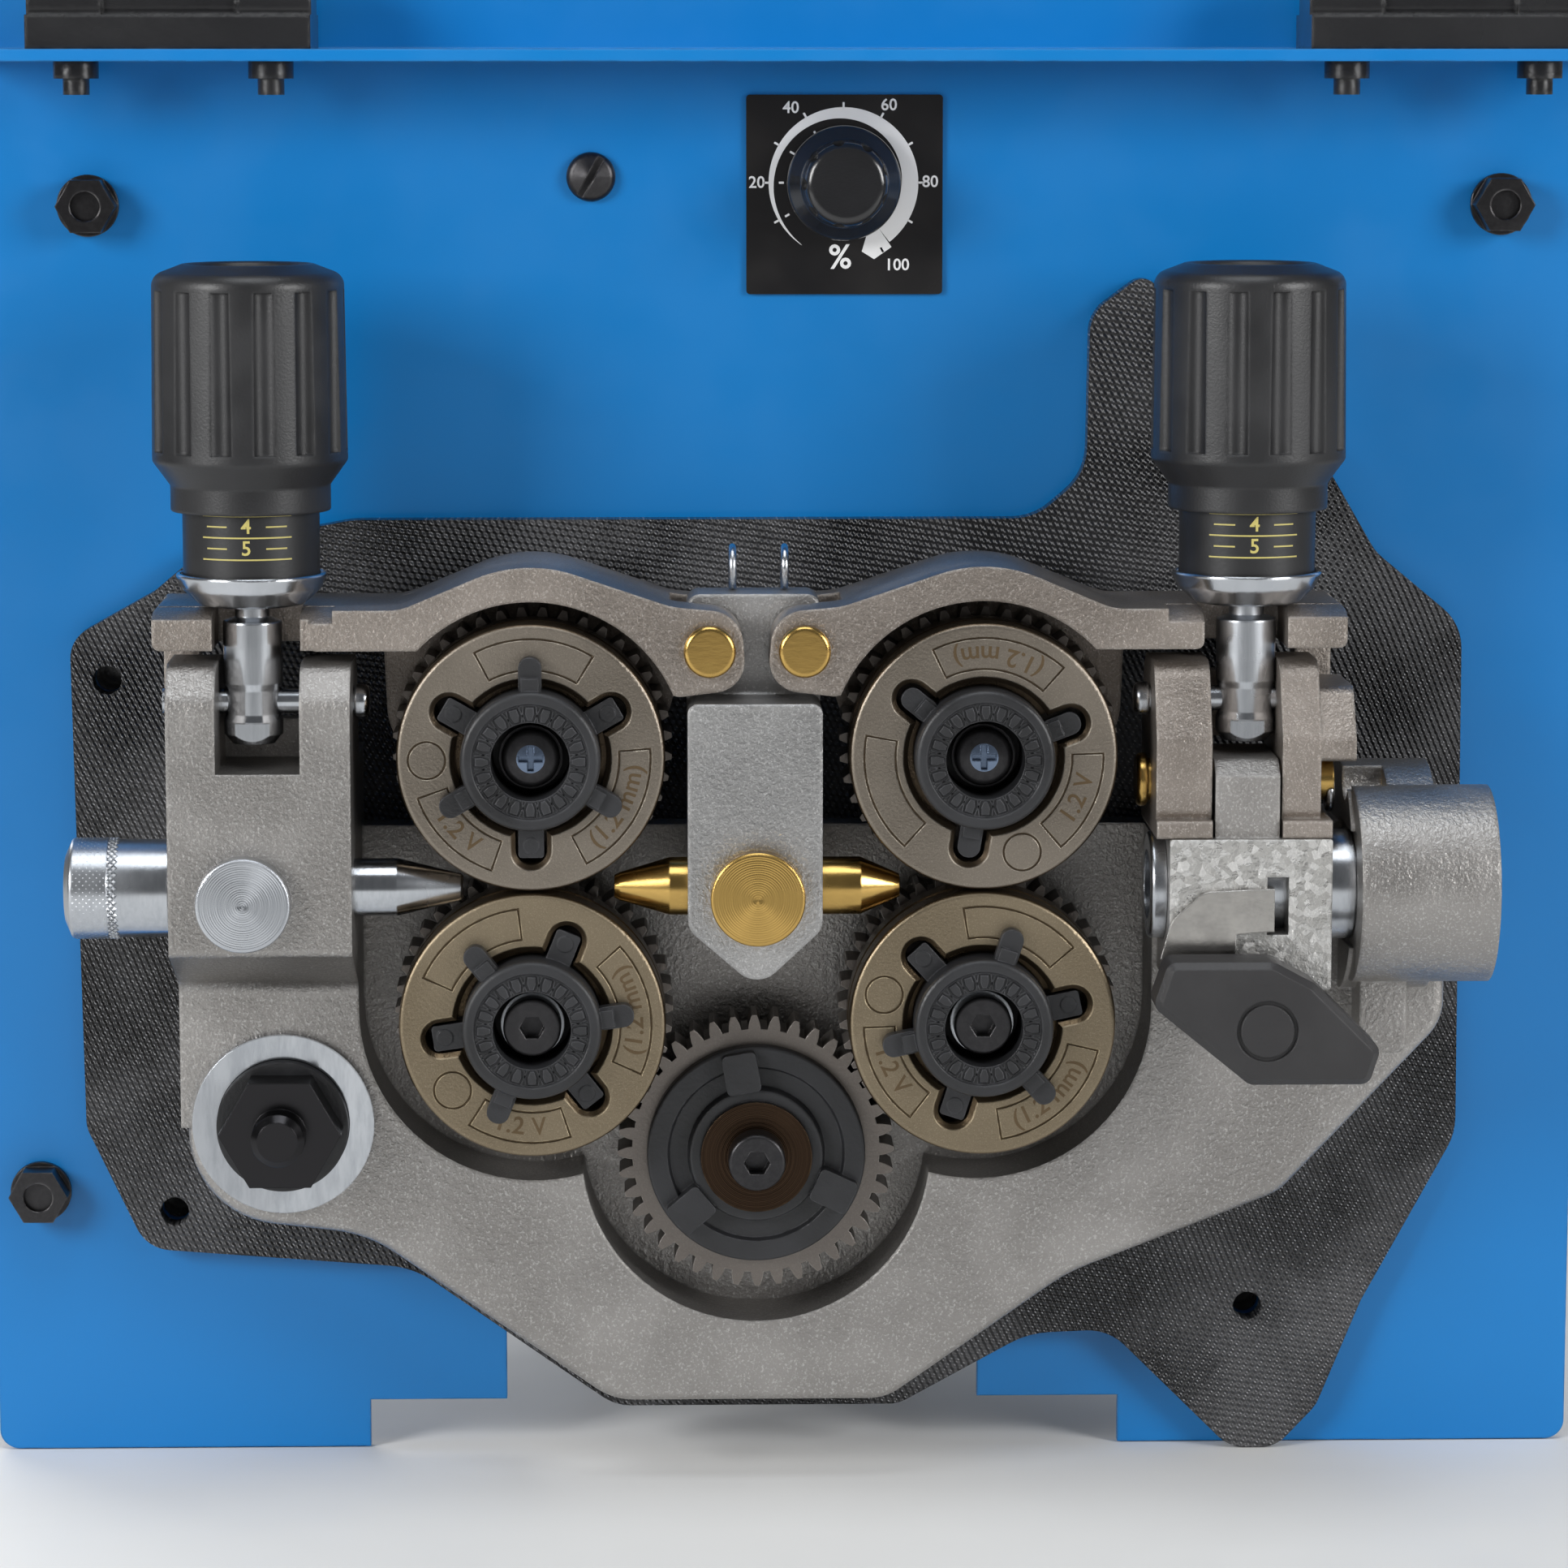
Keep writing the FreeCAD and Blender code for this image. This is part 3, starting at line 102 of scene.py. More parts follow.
class Wiring:
    """Short ways to add and join nodes in one node tree."""

    COLOUR_INPUTS = (6, 7)
    COLOUR_OUTPUT = 2

    def __init__(self, tree: bpy.types.NodeTree) -> None:
        """Work in a tree.

        Args:
            tree: The material's or the group's node tree.
        """
        self.tree = tree

    def add(self, kind: str, **settings: object) -> bpy.types.Node:
        """Add a node.

        Args:
            kind: The node's type name.
            **settings: Values for the node's own properties.

        Returns:
            The new node.
        """
        node = self.tree.nodes.new(kind)
        for name, value in settings.items():
            setattr(node, name, value)
        return node

    def feed(self, value: object, socket: Socket) -> None:
        """Join an output to a socket, or set the socket's own value.

        Args:
            value: An output socket, a number, or a tuple of numbers.
            socket: The input that takes it.
        """
        if isinstance(value, Socket):
            self.tree.links.new(value, socket)
        elif isinstance(value, tuple) and socket.type == "RGBA":
            socket.default_value = (*value, 1.0)
        else:
            socket.default_value = value

    def calc(self, operation: str, *values: object) -> Socket:
        """Work out one number from others.

        Args:
            operation: A Math node's operation.
            *values: Output sockets or numbers.

        Returns:
            The result's socket.
        """
        node = self.add("ShaderNodeMath", operation=operation)
        for value, socket in zip(values, node.inputs):
            self.feed(value, socket)
        return node.outputs[0]

    def vector(self, operation: str, *values: object) -> bpy.types.Node:
        """Work on vectors.

        Args:
            operation: A Vector Math node's operation.
            *values: Output sockets or tuples.

        Returns:
            The new node.
        """
        node = self.add("ShaderNodeVectorMath", operation=operation)
        for value, socket in zip(values, node.inputs):
            self.feed(value, socket)
        return node

    def fade(self, value: object, low: float, high: float, start: float = 0.0,
             stop: float = 1.0) -> Socket:
        """Map a range of values smoothly onto another.

        Args:
            value: The number's socket.
            low: Where the fade starts.
            high: Where the fade ends.
            start: The result at low.
            stop: The result at high.

        Returns:
            The faded number's socket.
        """
        node = self.add("ShaderNodeMapRange", interpolation_type="SMOOTHSTEP")
        for number, socket in zip((value, low, high, start, stop), node.inputs):
            self.feed(number, socket)
        return node.outputs[0]

    def blend(self, share: object, first: object, second: object) -> Socket:
        """Blend two colours.

        Args:
            share: How much of the second shows, from 0 to 1.
            first: The first colour.
            second: The second colour.

        Returns:
            The blended colour's socket.
        """
        node = self.add("ShaderNodeMix", data_type="RGBA")
        self.feed(share, node.inputs[0])
        for colour, index in zip((first, second), self.COLOUR_INPUTS):
            self.feed(colour, node.inputs[index])
        return node.outputs[self.COLOUR_OUTPUT]

    def noise(self, place: object, scale: object, detail: float = 3.0,
              rough: float = 0.6) -> Socket:
        """Add a noise texture.

        Args:
            place: The point's socket.
            scale: How fine the noise is.
            detail: How many finer layers it has.
            rough: How strong the finer layers are.

        Returns:
            The noise's factor, from 0 to 1.
        """
        node = self.add("ShaderNodeTexNoise")
        self.feed(place, node.inputs["Vector"])
        self.feed(scale, node.inputs["Scale"])
        node.inputs["Detail"].default_value = detail
        node.inputs["Roughness"].default_value = rough
        return node.outputs[0]

    def here(self) -> Socket:
        """The surface point in the object's own coordinates, in metres."""
        return self.add("ShaderNodeTexCoord").outputs["Object"]

    def use(self, effect: Effect, **values: object) -> dict[str, Socket]:
        """Place a shared effect in this tree.

        Args:
            effect: The effect whose group is placed.
            **values: Values or sockets for its inputs, by name with "_" for a space.

        Returns:
            The group's outputs by name.
        """
        node = self.add("ShaderNodeGroup", node_tree=effect.tree())
        for name, value in values.items():
            self.feed(value, node.inputs[name.replace("_", " ")])
        return {socket.name: socket for socket in node.outputs}


@dataclass(frozen=True)
class Effect:
    """A shared shader effect, kept as one node group."""

    name: str
    numbers: tuple[tuple[str, float], ...] = ()
    vectors: tuple[tuple[str, Colour], ...] = ()
    outputs: tuple[str, ...] = ("Height", "Tone")

    def tree(self) -> bpy.types.NodeTree:
        """Build the group once, then give the same one again.

        Returns:
            The group's node tree.
        """
        known = bpy.data.node_groups.get(self.name)
        if known:
            return known
        group = bpy.data.node_groups.new(self.name, "ShaderNodeTree")
        for name, value in self.numbers:
            socket = group.interface.new_socket(
                name, in_out="INPUT", socket_type="NodeSocketFloat")
            socket.default_value = value
        for name, value in self.vectors:
            socket = group.interface.new_socket(
                name, in_out="INPUT", socket_type="NodeSocketVector")
            socket.default_value = value
        for name in self.outputs:
            kind = "NodeSocketVector" if name == "Normal" else "NodeSocketFloat"
            group.interface.new_socket(name, in_out="OUTPUT", socket_type=kind)
        kit = Wiring(group)
        given = kit.add("NodeGroupInput")
        result = kit.add("NodeGroupOutput")
        for socket, value in zip(result.inputs, self.wire(kit, given.outputs)):
            kit.feed(value, socket)
        return group

    def wire(self, kit: Wiring, given: bpy.types.NodeOutputs) -> tuple[object, ...]:
        """Wire the group between its inputs and outputs.

        Args:
            kit: The group's wiring.
            given: The group's inputs.

        Returns:
            One value for each output, in order.
        """
        raise NotImplementedError


class BlastedGrain(Effect):
    """Fine pitted grain of a blasted casting, with bright flecks."""

    FINER = 2.3
    COARSE_SHARE = 0.6
    FINE_SHARE = 0.4
    FLECKS = (0.52, 0.72)

    def wire(self, kit: Wiring, given: bpy.types.NodeOutputs) -> tuple[object, ...]:
        """Mix two sizes of grain; the finest one's peaks are the flecks.

        Args:
            kit: The group's wiring.
            given: The group's inputs.

        Returns:
            One value for each output, in order.
        """
        place = kit.here()
        coarse = kit.noise(place, given["Scale"], 2.0, 0.5)
        fine = kit.noise(place, kit.calc("MULTIPLY", given["Scale"], self.FINER), 2.0, 0.7)
        height = kit.calc("ADD", kit.calc("MULTIPLY", coarse, self.COARSE_SHARE),
                          kit.calc("MULTIPLY", fine, self.FINE_SHARE))
        return height, kit.fade(fine, *self.FLECKS)


class MouldedSkin(Effect):
    """Spark-eroded mould texture of a plastic part."""

    TONE_SCALE = 90.0
    TONE_SPREAD = (0.35, 0.7)

    def wire(self, kit: Wiring, given: bpy.types.NodeOutputs) -> tuple[object, ...]:
        """Use tight noise for the skin and slow noise for the tone.

        Args:
            kit: The group's wiring.
            given: The group's inputs.

        Returns:
            One value for each output, in order.
        """
        place = kit.here()
        tone = kit.fade(kit.noise(place, self.TONE_SCALE), *self.TONE_SPREAD)
        return kit.noise(place, given["Scale"], 2.0, 0.6), tone


class DrawnLines(Effect):
    """Fine lines left by drawing or grinding along one direction."""

    TONE_SPREAD = (0.35, 0.7)

    def wire(self, kit: Wiring, given: bpy.types.NodeOutputs) -> tuple[object, ...]:
        """Stretch noise along the direction whose share is small.

        Args:
            kit: The group's wiring.
            given: The group's inputs.

        Returns:
            One value for each output, in order.
        """
        place = kit.vector("MULTIPLY", kit.here(), given["Across"]).outputs[0]
        lines = kit.noise(place, given["Scale"], 4.0, 0.7)
        return lines, kit.fade(lines, *self.TONE_SPREAD)


class LatheRings(Effect):
    """Concentric rings left by a lathe tool on a faced surface."""

    TURN = 6.2832
    RIDGE_SHARE = 0.5
    BAND_SCALE = 0.7
    BAND_SPREAD = (0.4, 0.65)

    def wire(self, kit: Wiring, given: bpy.types.NodeOutputs) -> tuple[object, ...]:
        """Turn the distance from the axis into ridges of uneven depth.

        Args:
            kit: The group's wiring.
            given: The group's inputs.

        Returns:
            One value for each output, in order.
        """
        place = kit.vector("SUBTRACT", kit.here(), given["Centre"]).outputs[0]
        flat = kit.vector("MULTIPLY", place, given["Across"]).outputs[0]
        reach = kit.vector("LENGTH", flat).outputs["Value"]
        turns = kit.calc("MULTIPLY", reach, kit.calc("MULTIPLY", given["Scale"], self.TURN))
        ridge = kit.fade(kit.calc("SINE", turns), -1.0, 1.0)
        band = kit.add("ShaderNodeTexNoise", noise_dimensions="1D")
        kit.feed(kit.calc("MULTIPLY", reach, given["Scale"]), band.inputs["W"])
        band.inputs["Scale"].default_value = self.BAND_SCALE
        height = kit.calc("ADD", kit.calc("MULTIPLY", ridge, self.RIDGE_SHARE), band.outputs[0])
        return height, kit.fade(band.outputs[0], *self.BAND_SPREAD)


class WovenThreads(Effect):
    """Twill of glossy threads pressed into a laminate, with a painted glint where the threads
    cross.
    """

    SLANT = 0.45
    DRIFT = 0.006
    ALONG_SHARE = 0.8
    RIB_SHARE = 0.3
    STEP_SHARE = 0.2
    BROKEN_SHARE = 0.22
    GLINT_SPREAD = (0.35, 0.95)
    BROKEN_SPREAD = (0.42, 0.62)

    def wire(self, kit: Wiring, given: bpy.types.NodeOutputs) -> tuple[object, ...]:
        """Cross two sets of waves whose phase shifts from row to row; the tone is a painted glint
        at the crossings.

        Args:
            kit: The group's wiring.
            given: The group's inputs.

        Returns:
            One value for each output, in order.
        """
        parts = kit.add("ShaderNodeSeparateXYZ")
        drift = kit.noise(kit.here(), 14.0, 1.0)
        kit.feed(kit.here(), parts.inputs[0])
        up = parts.outputs["Z"]
        lean = kit.calc("MULTIPLY_ADD", drift, self.DRIFT, parts.outputs["X"])
        across = kit.calc("MULTIPLY", kit.calc("ADD", lean, kit.calc("MULTIPLY", up, self.SLANT)),
                          given["Scale"])
        along = kit.calc("MULTIPLY",
                         kit.calc("SUBTRACT", up, kit.calc("MULTIPLY", lean, self.SLANT)),
                         kit.calc("MULTIPLY", given["Scale"], self.ALONG_SHARE))
        ribs = kit.calc("SINE", across)
        steps = kit.calc("SINE", kit.calc("ADD", along, kit.calc("MULTIPLY", across, 0.5)))
        height = kit.calc("ADD", kit.calc("MULTIPLY", ribs, self.RIB_SHARE),
                          kit.calc("MULTIPLY", steps, self.STEP_SHARE))
        broken = kit.noise(kit.here(), kit.calc("MULTIPLY", given["Scale"], self.BROKEN_SHARE), 2.0)
        # Painted glint: the tone brightens the thread crossings, broken up by slow noise.
        crossings = kit.calc("MULTIPLY", ribs, steps)
        glint = kit.calc("MULTIPLY", kit.fade(crossings, *self.GLINT_SPREAD),
                         kit.fade(broken, *self.BROKEN_SPREAD))
        return kit.calc("ADD", height, 0.5), glint


class SprayedCoat(Effect):
    """Slight waviness of a sprayed and baked coat."""

    TONE_SCALE = 12.0
    TONE_SPREAD = (0.3, 0.7)

    def wire(self, kit: Wiring, given: bpy.types.NodeOutputs) -> tuple[object, ...]:
        """Use soft noise for the waves and a slower one for the tone.

        Args:
            kit: The group's wiring.
            given: The group's inputs.

        Returns:
            One value for each output, in order.
        """
        place = kit.here()
        tone = kit.fade(kit.noise(place, self.TONE_SCALE, 2.0), *self.TONE_SPREAD)
        return kit.noise(place, given["Scale"], 1.0, 0.4), tone


class WornEdges(Effect):
    """Softened edges, with a mask of where handling has rubbed them."""

    TURNED_SPREAD = (0.01, 0.16)
    PATCH_SCALE = 420.0
    PATCH_SPREAD = (0.38, 0.62)

    def wire(self, kit: Wiring, given: bpy.types.NodeOutputs) -> tuple[object, ...]:
        """Compare the rounded normal with the true one and break the mask up.

        Args:
            kit: The group's wiring.
            given: The group's inputs.

        Returns:
            One value for each output, in order.
        """
        bevel = kit.add("ShaderNodeBevel", samples=3)
        kit.feed(given["Radius"], bevel.inputs["Radius"])
        true = kit.add("ShaderNodeNewGeometry").outputs["Normal"]
        same = kit.vector("DOT_PRODUCT", bevel.outputs[0], true).outputs["Value"]
        turned = kit.fade(kit.calc("SUBTRACT", 1.0, same), *self.TURNED_SPREAD)
        patchy = kit.fade(kit.noise(kit.here(), self.PATCH_SCALE, 3.0), *self.PATCH_SPREAD)
        wear = kit.calc("MULTIPLY", turned, kit.calc("MULTIPLY", patchy, given["Amount"]))
        return bevel.outputs[0], wear


class HandledFilm(Effect):
    """Uneven film of handling and shop oil."""

    SPREAD = (0.3, 0.72)

    def wire(self, kit: Wiring, given: bpy.types.NodeOutputs) -> tuple[object, ...]:
        """Fade one slow noise.

        Args:
            kit: The group's wiring.
            given: The group's inputs.

        Returns:
            One value for each output, in order.
        """
        wide = kit.noise(kit.here(), given["Scale"], 3.0, 0.55)
        return (kit.fade(wide, *self.SPREAD),)


class BoxZone(Effect):
    """Mask of the points inside an upright box."""

    def wire(self, kit: Wiring, given: bpy.types.NodeOutputs) -> tuple[object, ...]:
        """Multiply six comparisons.

        Args:
            kit: The group's wiring.
            given: The group's inputs.

        Returns:
            One value for each output, in order.
        """
        place = kit.here()
        above = kit.add("ShaderNodeSeparateXYZ")
        below = kit.add("ShaderNodeSeparateXYZ")
        kit.feed(kit.vector("SUBTRACT", place, given["Low"]).outputs[0], above.inputs[0])
        kit.feed(kit.vector("SUBTRACT", given["High"], place).outputs[0], below.inputs[0])
        mask: object = 1.0
        for socket in (*above.outputs, *below.outputs):
            mask = kit.calc("MULTIPLY", mask, kit.calc("GREATER_THAN", socket, 0.0))
        return (mask,)


class AxisZone(Effect):
    """Mask of the points within a radius of an axis that faces the operator."""

    def wire(self, kit: Wiring, given: bpy.types.NodeOutputs) -> tuple[object, ...]:
        """Compare the distance from the axis with the radius.

        Args:
            kit: The group's wiring.
            given: The group's inputs.

        Returns:
            One value for each output, in order.
        """
        place = kit.vector("SUBTRACT", kit.here(), given["Centre"]).outputs[0]
        flat = kit.vector("MULTIPLY", place, (1.0, 0.0, 1.0)).outputs[0]
        reach = kit.vector("LENGTH", flat).outputs["Value"]
        return (kit.calc("LESS_THAN", reach, given["Radius"]),)


ORIGIN = (0.0, 0.0, 0.0)
ALL_ROUND = ("Across", (1.0, 1.0, 1.0))
SKINS: dict[Texture, Effect] = {
    Texture.BLASTED: BlastedGrain("Blasted Grain", (("Scale", 1500.0),)),
    Texture.MOULDED: MouldedSkin("Moulded Skin", (("Scale", 2500.0),)),
    Texture.BRUSHED: DrawnLines("Drawn Lines", (("Scale", 900.0),), (ALL_ROUND,)),
    Texture.TURNED: LatheRings(
        "Lathe Rings", (("Scale", 5000.0),), (ALL_ROUND, ("Centre", ORIGIN))),
    Texture.WOVEN: WovenThreads("Woven Threads", (("Scale", 7000.0),)),
    Texture.SPRAYED: SprayedCoat("Sprayed Coat", (("Scale", 400.0),)),
}
EDGES = WornEdges("Worn Edges", (("Radius", 0.0004), ("Amount", 0.5)), outputs=("Normal", "Wear"))
FILM = HandledFilm("Handled Film", (("Scale", 40.0),), outputs=("Film",))
REACH = AxisZone("Axis Zone", (("Radius", 0.005),), (("Centre", ORIGIN),), ("Inside",))
ZONE = BoxZone("Box Zone", vectors=(("Low", ORIGIN), ("High", ORIGIN)), outputs=("Inside",))


# ---------------------------------------------------------------- finishes


@dataclass(frozen=True)
class Finish:
    """A surface finish: its colours, its gloss and the relief that its making leaves."""

    name: str
    colour: Colour
    second: Colour
    worn: Colour
    texture: Texture
    scale: float
    relief: float
    roughness: float
    metallic: float = 0.0
    uneven: float = 0.12
    tone: float = 0.35
    wear: float = 0.4
    edge: float = 0.0003
    coat: float = 0.0
    coat_roughness: float = 0.12
    film_scale: float = 45.0
    film_share: float = 0.25
    ring_shine: float = 0.75
    across: Colour = (1.0, 1.0, 1.0)
    centre: Colour = ORIGIN

    def tint(self, kit: Wiring, colour: Socket, rough: Socket) -> tuple[Socket, Socket]:
        """Change the colour and roughness where this finish has more to show.

        Args:
            kit: The material's wiring.
            colour: The colour so far.
            rough: The roughness so far.

        Returns:
            The colour and the roughness to use.
        """
        return colour, rough

    def build(self) -> bpy.types.Material:
        """Build the material once, then give the same one again.

        Returns:
            The material.
        """
        label = f"finish {self.name}"
        known = bpy.data.materials.get(label)
        if known:
            return known
        material = bpy.data.materials.new(label)
        material.use_nodes = True
        shader = material.node_tree.nodes["Principled BSDF"]
        kit = Wiring(material.node_tree)
        extra = {}
        if self.texture in (Texture.BRUSHED, Texture.TURNED):
            extra["Across"] = self.across
        if self.texture is Texture.TURNED:
            extra["Centre"] = self.centre
        skin = kit.use(SKINS[self.texture], Scale=self.scale, **extra)
        film = kit.use(FILM, Scale=self.film_scale)["Film"]
        edges = kit.use(EDGES, Radius=self.edge, Amount=self.wear)
        # For the woven skin the tone is a painted glint on the thread crossings.
        colour = kit.blend(kit.calc("MULTIPLY", skin["Tone"], self.tone), self.colour, self.second)
        colour = kit.blend(kit.calc("MULTIPLY", film, self.film_share), colour, self.second)
        colour = kit.blend(edges["Wear"], colour, self.worn)
        rough = kit.fade(film, 0.0, 1.0, self.roughness - self.uneven / 2,
                         self.roughness + self.uneven / 2)
        colour, rough = self.tint(kit, colour, rough)
        bump = kit.add("ShaderNodeBump")
        bump.inputs["Strength"].default_value = 1.0
        bump.inputs["Distance"].default_value = self.relief
        kit.feed(skin["Height"], bump.inputs["Height"])
        kit.feed(edges["Normal"], bump.inputs["Normal"])
        kit.feed(colour, shader.inputs["Base Color"])
        kit.feed(rough, shader.inputs["Roughness"])
        kit.feed(bump.outputs[0], shader.inputs["Normal"])
        if self.texture is Texture.TURNED:
            tangent = kit.add("ShaderNodeTangent", direction_type="RADIAL", axis="Y")
            kit.feed(tangent.outputs[0], shader.inputs["Tangent"])
            shader.inputs["Anisotropic"].default_value = self.ring_shine
        shader.inputs["Metallic"].default_value = self.metallic
        shader.inputs["Coat Weight"].default_value = self.coat
        shader.inputs["Coat Roughness"].default_value = self.coat_roughness
        return material


@dataclass(frozen=True)
class CastFinish(Finish):
    """Blasted casting with one zone milled bright."""

    milled_low: Colour = ORIGIN
    milled_high: Colour = ORIGIN
    milled: Colour = (0.72, 0.71, 0.69)
    milled_dark: Colour = (0.50, 0.49, 0.47)
    flake_scale: float = 900.0
    flake_spread: tuple[float, float] = (0.2, 0.95)
    flake_roughness: tuple[float, float] = (0.22, 0.26)

    def tint(self, kit: Wiring, colour: Socket, rough: Socket) -> tuple[Socket, Socket]:
        """Brighten the milled zone and scatter crystal flakes over it.

        Args:
            kit: The material's wiring.
            colour: The colour so far.
            rough: The roughness so far.

        Returns:
            The colour and the roughness to use.
        """
        inside = kit.use(ZONE, Low=self.milled_low, High=self.milled_high)["Inside"]
        flakes = kit.add("ShaderNodeTexVoronoi", feature="F1")
        flakes.inputs["Scale"].default_value = self.flake_scale
        kit.feed(kit.here(), flakes.inputs["Vector"])
        spark = kit.add("ShaderNodeSeparateColor")
        kit.feed(flakes.outputs["Color"], spark.inputs[0])
        bright = kit.blend(kit.fade(spark.outputs[0], *self.flake_spread), self.milled_dark,
                           self.milled)
        smooth = kit.calc("MULTIPLY_ADD", spark.outputs[1], *self.flake_roughness)
        mixed = kit.calc("ADD", kit.calc("MULTIPLY", smooth, inside),
                         kit.calc("MULTIPLY", rough, kit.calc("SUBTRACT", 1.0, inside)))
        return kit.blend(inside, colour, bright), mixed


@dataclass(frozen=True)
class CoredFinish(Finish):
    """Finish with another colour and gloss near an axis that faces the operator."""

    core: Colour = (0.02, 0.02, 0.02)
    core_radius: float = 0.005
    core_roughness: float = 0.3

    def tint(self, kit: Wiring, colour: Socket, rough: Socket) -> tuple[Socket, Socket]:
        """Swap the colour and the roughness near the axis.

        Args:
            kit: The material's wiring.
            colour: The colour so far.
            rough: The roughness so far.

        Returns:
            The colour and the roughness to use.
        """
        within = kit.use(REACH, Centre=self.centre, Radius=self.core_radius)["Inside"]
        mixed = kit.calc("ADD", kit.calc("MULTIPLY", within, self.core_roughness),
                         kit.calc("MULTIPLY", rough, kit.calc("SUBTRACT", 1.0, within)))
        return kit.blend(within, colour, self.core), mixed


@dataclass(frozen=True)
class PlatedRoll(Finish):
    """Blasted plated roll with painted shade on its engraving, its rim and everything else behind
    its face.
    """

    face: float = 0.038
    # Colour of the painted shade behind the roll's face.
    recess_shade: Colour = (0.085, 0.055, 0.028)
    shade_spread: tuple[float, float] = (0.00006, 0.00025)
    shade_share: float = 0.8
    sunk_shine: float = -0.1

    def tint(self, kit: Wiring, colour: Socket, rough: Socket) -> tuple[Socket, Socket]:
        """Paint shade on whatever lies behind the face.

        Args:
            kit: The material's wiring.
            colour: The colour so far.
            rough: The roughness so far.

        Returns:
            The colour and the roughness to use.
        """
        parts = kit.add("ShaderNodeSeparateXYZ")
        kit.feed(kit.here(), parts.inputs[0])
        behind = kit.calc("ADD", parts.outputs["Y"], self.face)
        # Painted shade: whatever lies behind the face blends towards a dark bronze.
        shade_mask = kit.fade(behind, *self.shade_spread, 0.0, self.shade_share)
        shine = kit.calc("MULTIPLY_ADD", shade_mask, self.sunk_shine, rough)
        return kit.blend(shade_mask, colour, self.recess_shade), shine


BLACK = (0.012, 0.012, 0.013)

BLUE_PANEL = Finish(
    name="blue_panel", colour=(0.0, 0.165, 0.47), second=(0.0, 0.185, 0.52),
    worn=(0.05, 0.25, 0.56), texture=Texture.SPRAYED, scale=260.0, relief=0.00003,
    roughness=0.36, uneven=0.1, wear=0.25, edge=0.0005, coat=0.15,
)
HINGE_BLACK = Finish(
    name="hinge_black", colour=BLACK, second=(0.03, 0.03, 0.032), worn=(0.10, 0.10, 0.10),
    texture=Texture.SPRAYED, scale=900.0, relief=0.00004, roughness=0.24, edge=0.0008, coat=0.3,
)
BLACK_OXIDE = Finish(
    name="black_oxide", colour=(0.035, 0.034, 0.036), second=(0.07, 0.068, 0.07),
    worn=(0.28, 0.27, 0.27), texture=Texture.BRUSHED, scale=1200.0, relief=0.00002,
    roughness=0.34, metallic=0.85, wear=0.6, edge=0.0003,
)
DIAL_BLACK = Finish(
    name="dial_black", colour=(0.010, 0.010, 0.011), second=(0.02, 0.016, 0.013),
    worn=(0.05, 0.05, 0.05), texture=Texture.SPRAYED, scale=500.0, relief=0.00001,
    roughness=0.22, uneven=0.16, wear=0.2, edge=0.0001,
)
KNOB_BLACK = Finish(
    name="knob_black", colour=(0.014, 0.014, 0.015), second=(0.026, 0.026, 0.028),
    worn=(0.06, 0.06, 0.062), texture=Texture.MOULDED, scale=2600.0, relief=0.00003,
    roughness=0.40, uneven=0.14, wear=0.5, edge=0.0006,
)
DIAL_KNOB = Finish(
    name="dial_knob_black", colour=(0.012, 0.012, 0.013), second=(0.02, 0.02, 0.022),
    worn=(0.05, 0.05, 0.052), texture=Texture.MOULDED, scale=1800.0, relief=0.00001,
    roughness=0.20, uneven=0.12, wear=0.4, edge=0.0004, coat=0.4,
)
HANDLE_BLACK = Finish(
    name="handle_black", colour=(0.022, 0.021, 0.022), second=(0.034, 0.033, 0.034),
    worn=(0.07, 0.068, 0.068), texture=Texture.MOULDED, scale=2200.0, relief=0.00004,
    roughness=0.46, uneven=0.12, wear=0.5, edge=0.0004,
)
POT_STEEL = Finish(
    name="pot_steel", colour=(0.5, 0.5, 0.5), second=(0.36, 0.36, 0.37), worn=(0.7, 0.7, 0.7),
    texture=Texture.BRUSHED, scale=800.0, relief=0.00001, roughness=0.3, metallic=1.0,
)
# Its second colour, laid on by the weave's tone, is a painted glint on the thread crossings.
INSULATOR = Finish(
    name="insulator_weave", colour=(0.007, 0.007, 0.008), second=(0.24, 0.24, 0.25),
    worn=(0.05, 0.05, 0.05), texture=Texture.WOVEN, scale=6400.0, relief=0.00045,
    roughness=0.30, uneven=0.14, tone=1.0, wear=0.2, edge=0.0005,
)
CASTING = CastFinish(
    name="cast_aluminium", colour=(0.30, 0.285, 0.27), second=(0.60, 0.585, 0.57),
    worn=(0.66, 0.64, 0.62), texture=Texture.BLASTED, scale=1100.0, relief=0.00022,
    roughness=0.42, metallic=0.9, uneven=0.14, tone=0.7, wear=0.5, edge=0.0007,
    milled_low=(0.0606, -0.0432, 0.0278), milled_high=(0.0846, -0.0418, 0.0503),
)
ARM_CASTING = replace(
    CASTING, name="arm_casting", colour=(0.27, 0.235, 0.205), second=(0.55, 0.50, 0.46),
    worn=(0.70, 0.66, 0.62), scale=1300.0,
)
POST = Finish(
    name="post_steel", colour=(0.36, 0.355, 0.35), second=(0.68, 0.675, 0.67),
    worn=(0.76, 0.75, 0.74), texture=Texture.BLASTED, scale=1300.0, relief=0.00022,
    roughness=0.38, metallic=0.95, tone=0.7, wear=0.6, edge=0.0008,
)
ZINC = Finish(
    name="zinc_steel", colour=(0.56, 0.58, 0.61), second=(0.40, 0.42, 0.45),
    worn=(0.8, 0.82, 0.84), texture=Texture.BRUSHED, scale=1400.0, relief=0.000012,
    roughness=0.24, metallic=1.0, uneven=0.16, tone=0.5, wear=0.4, across=(1.0, 1.0, 0.2),
)
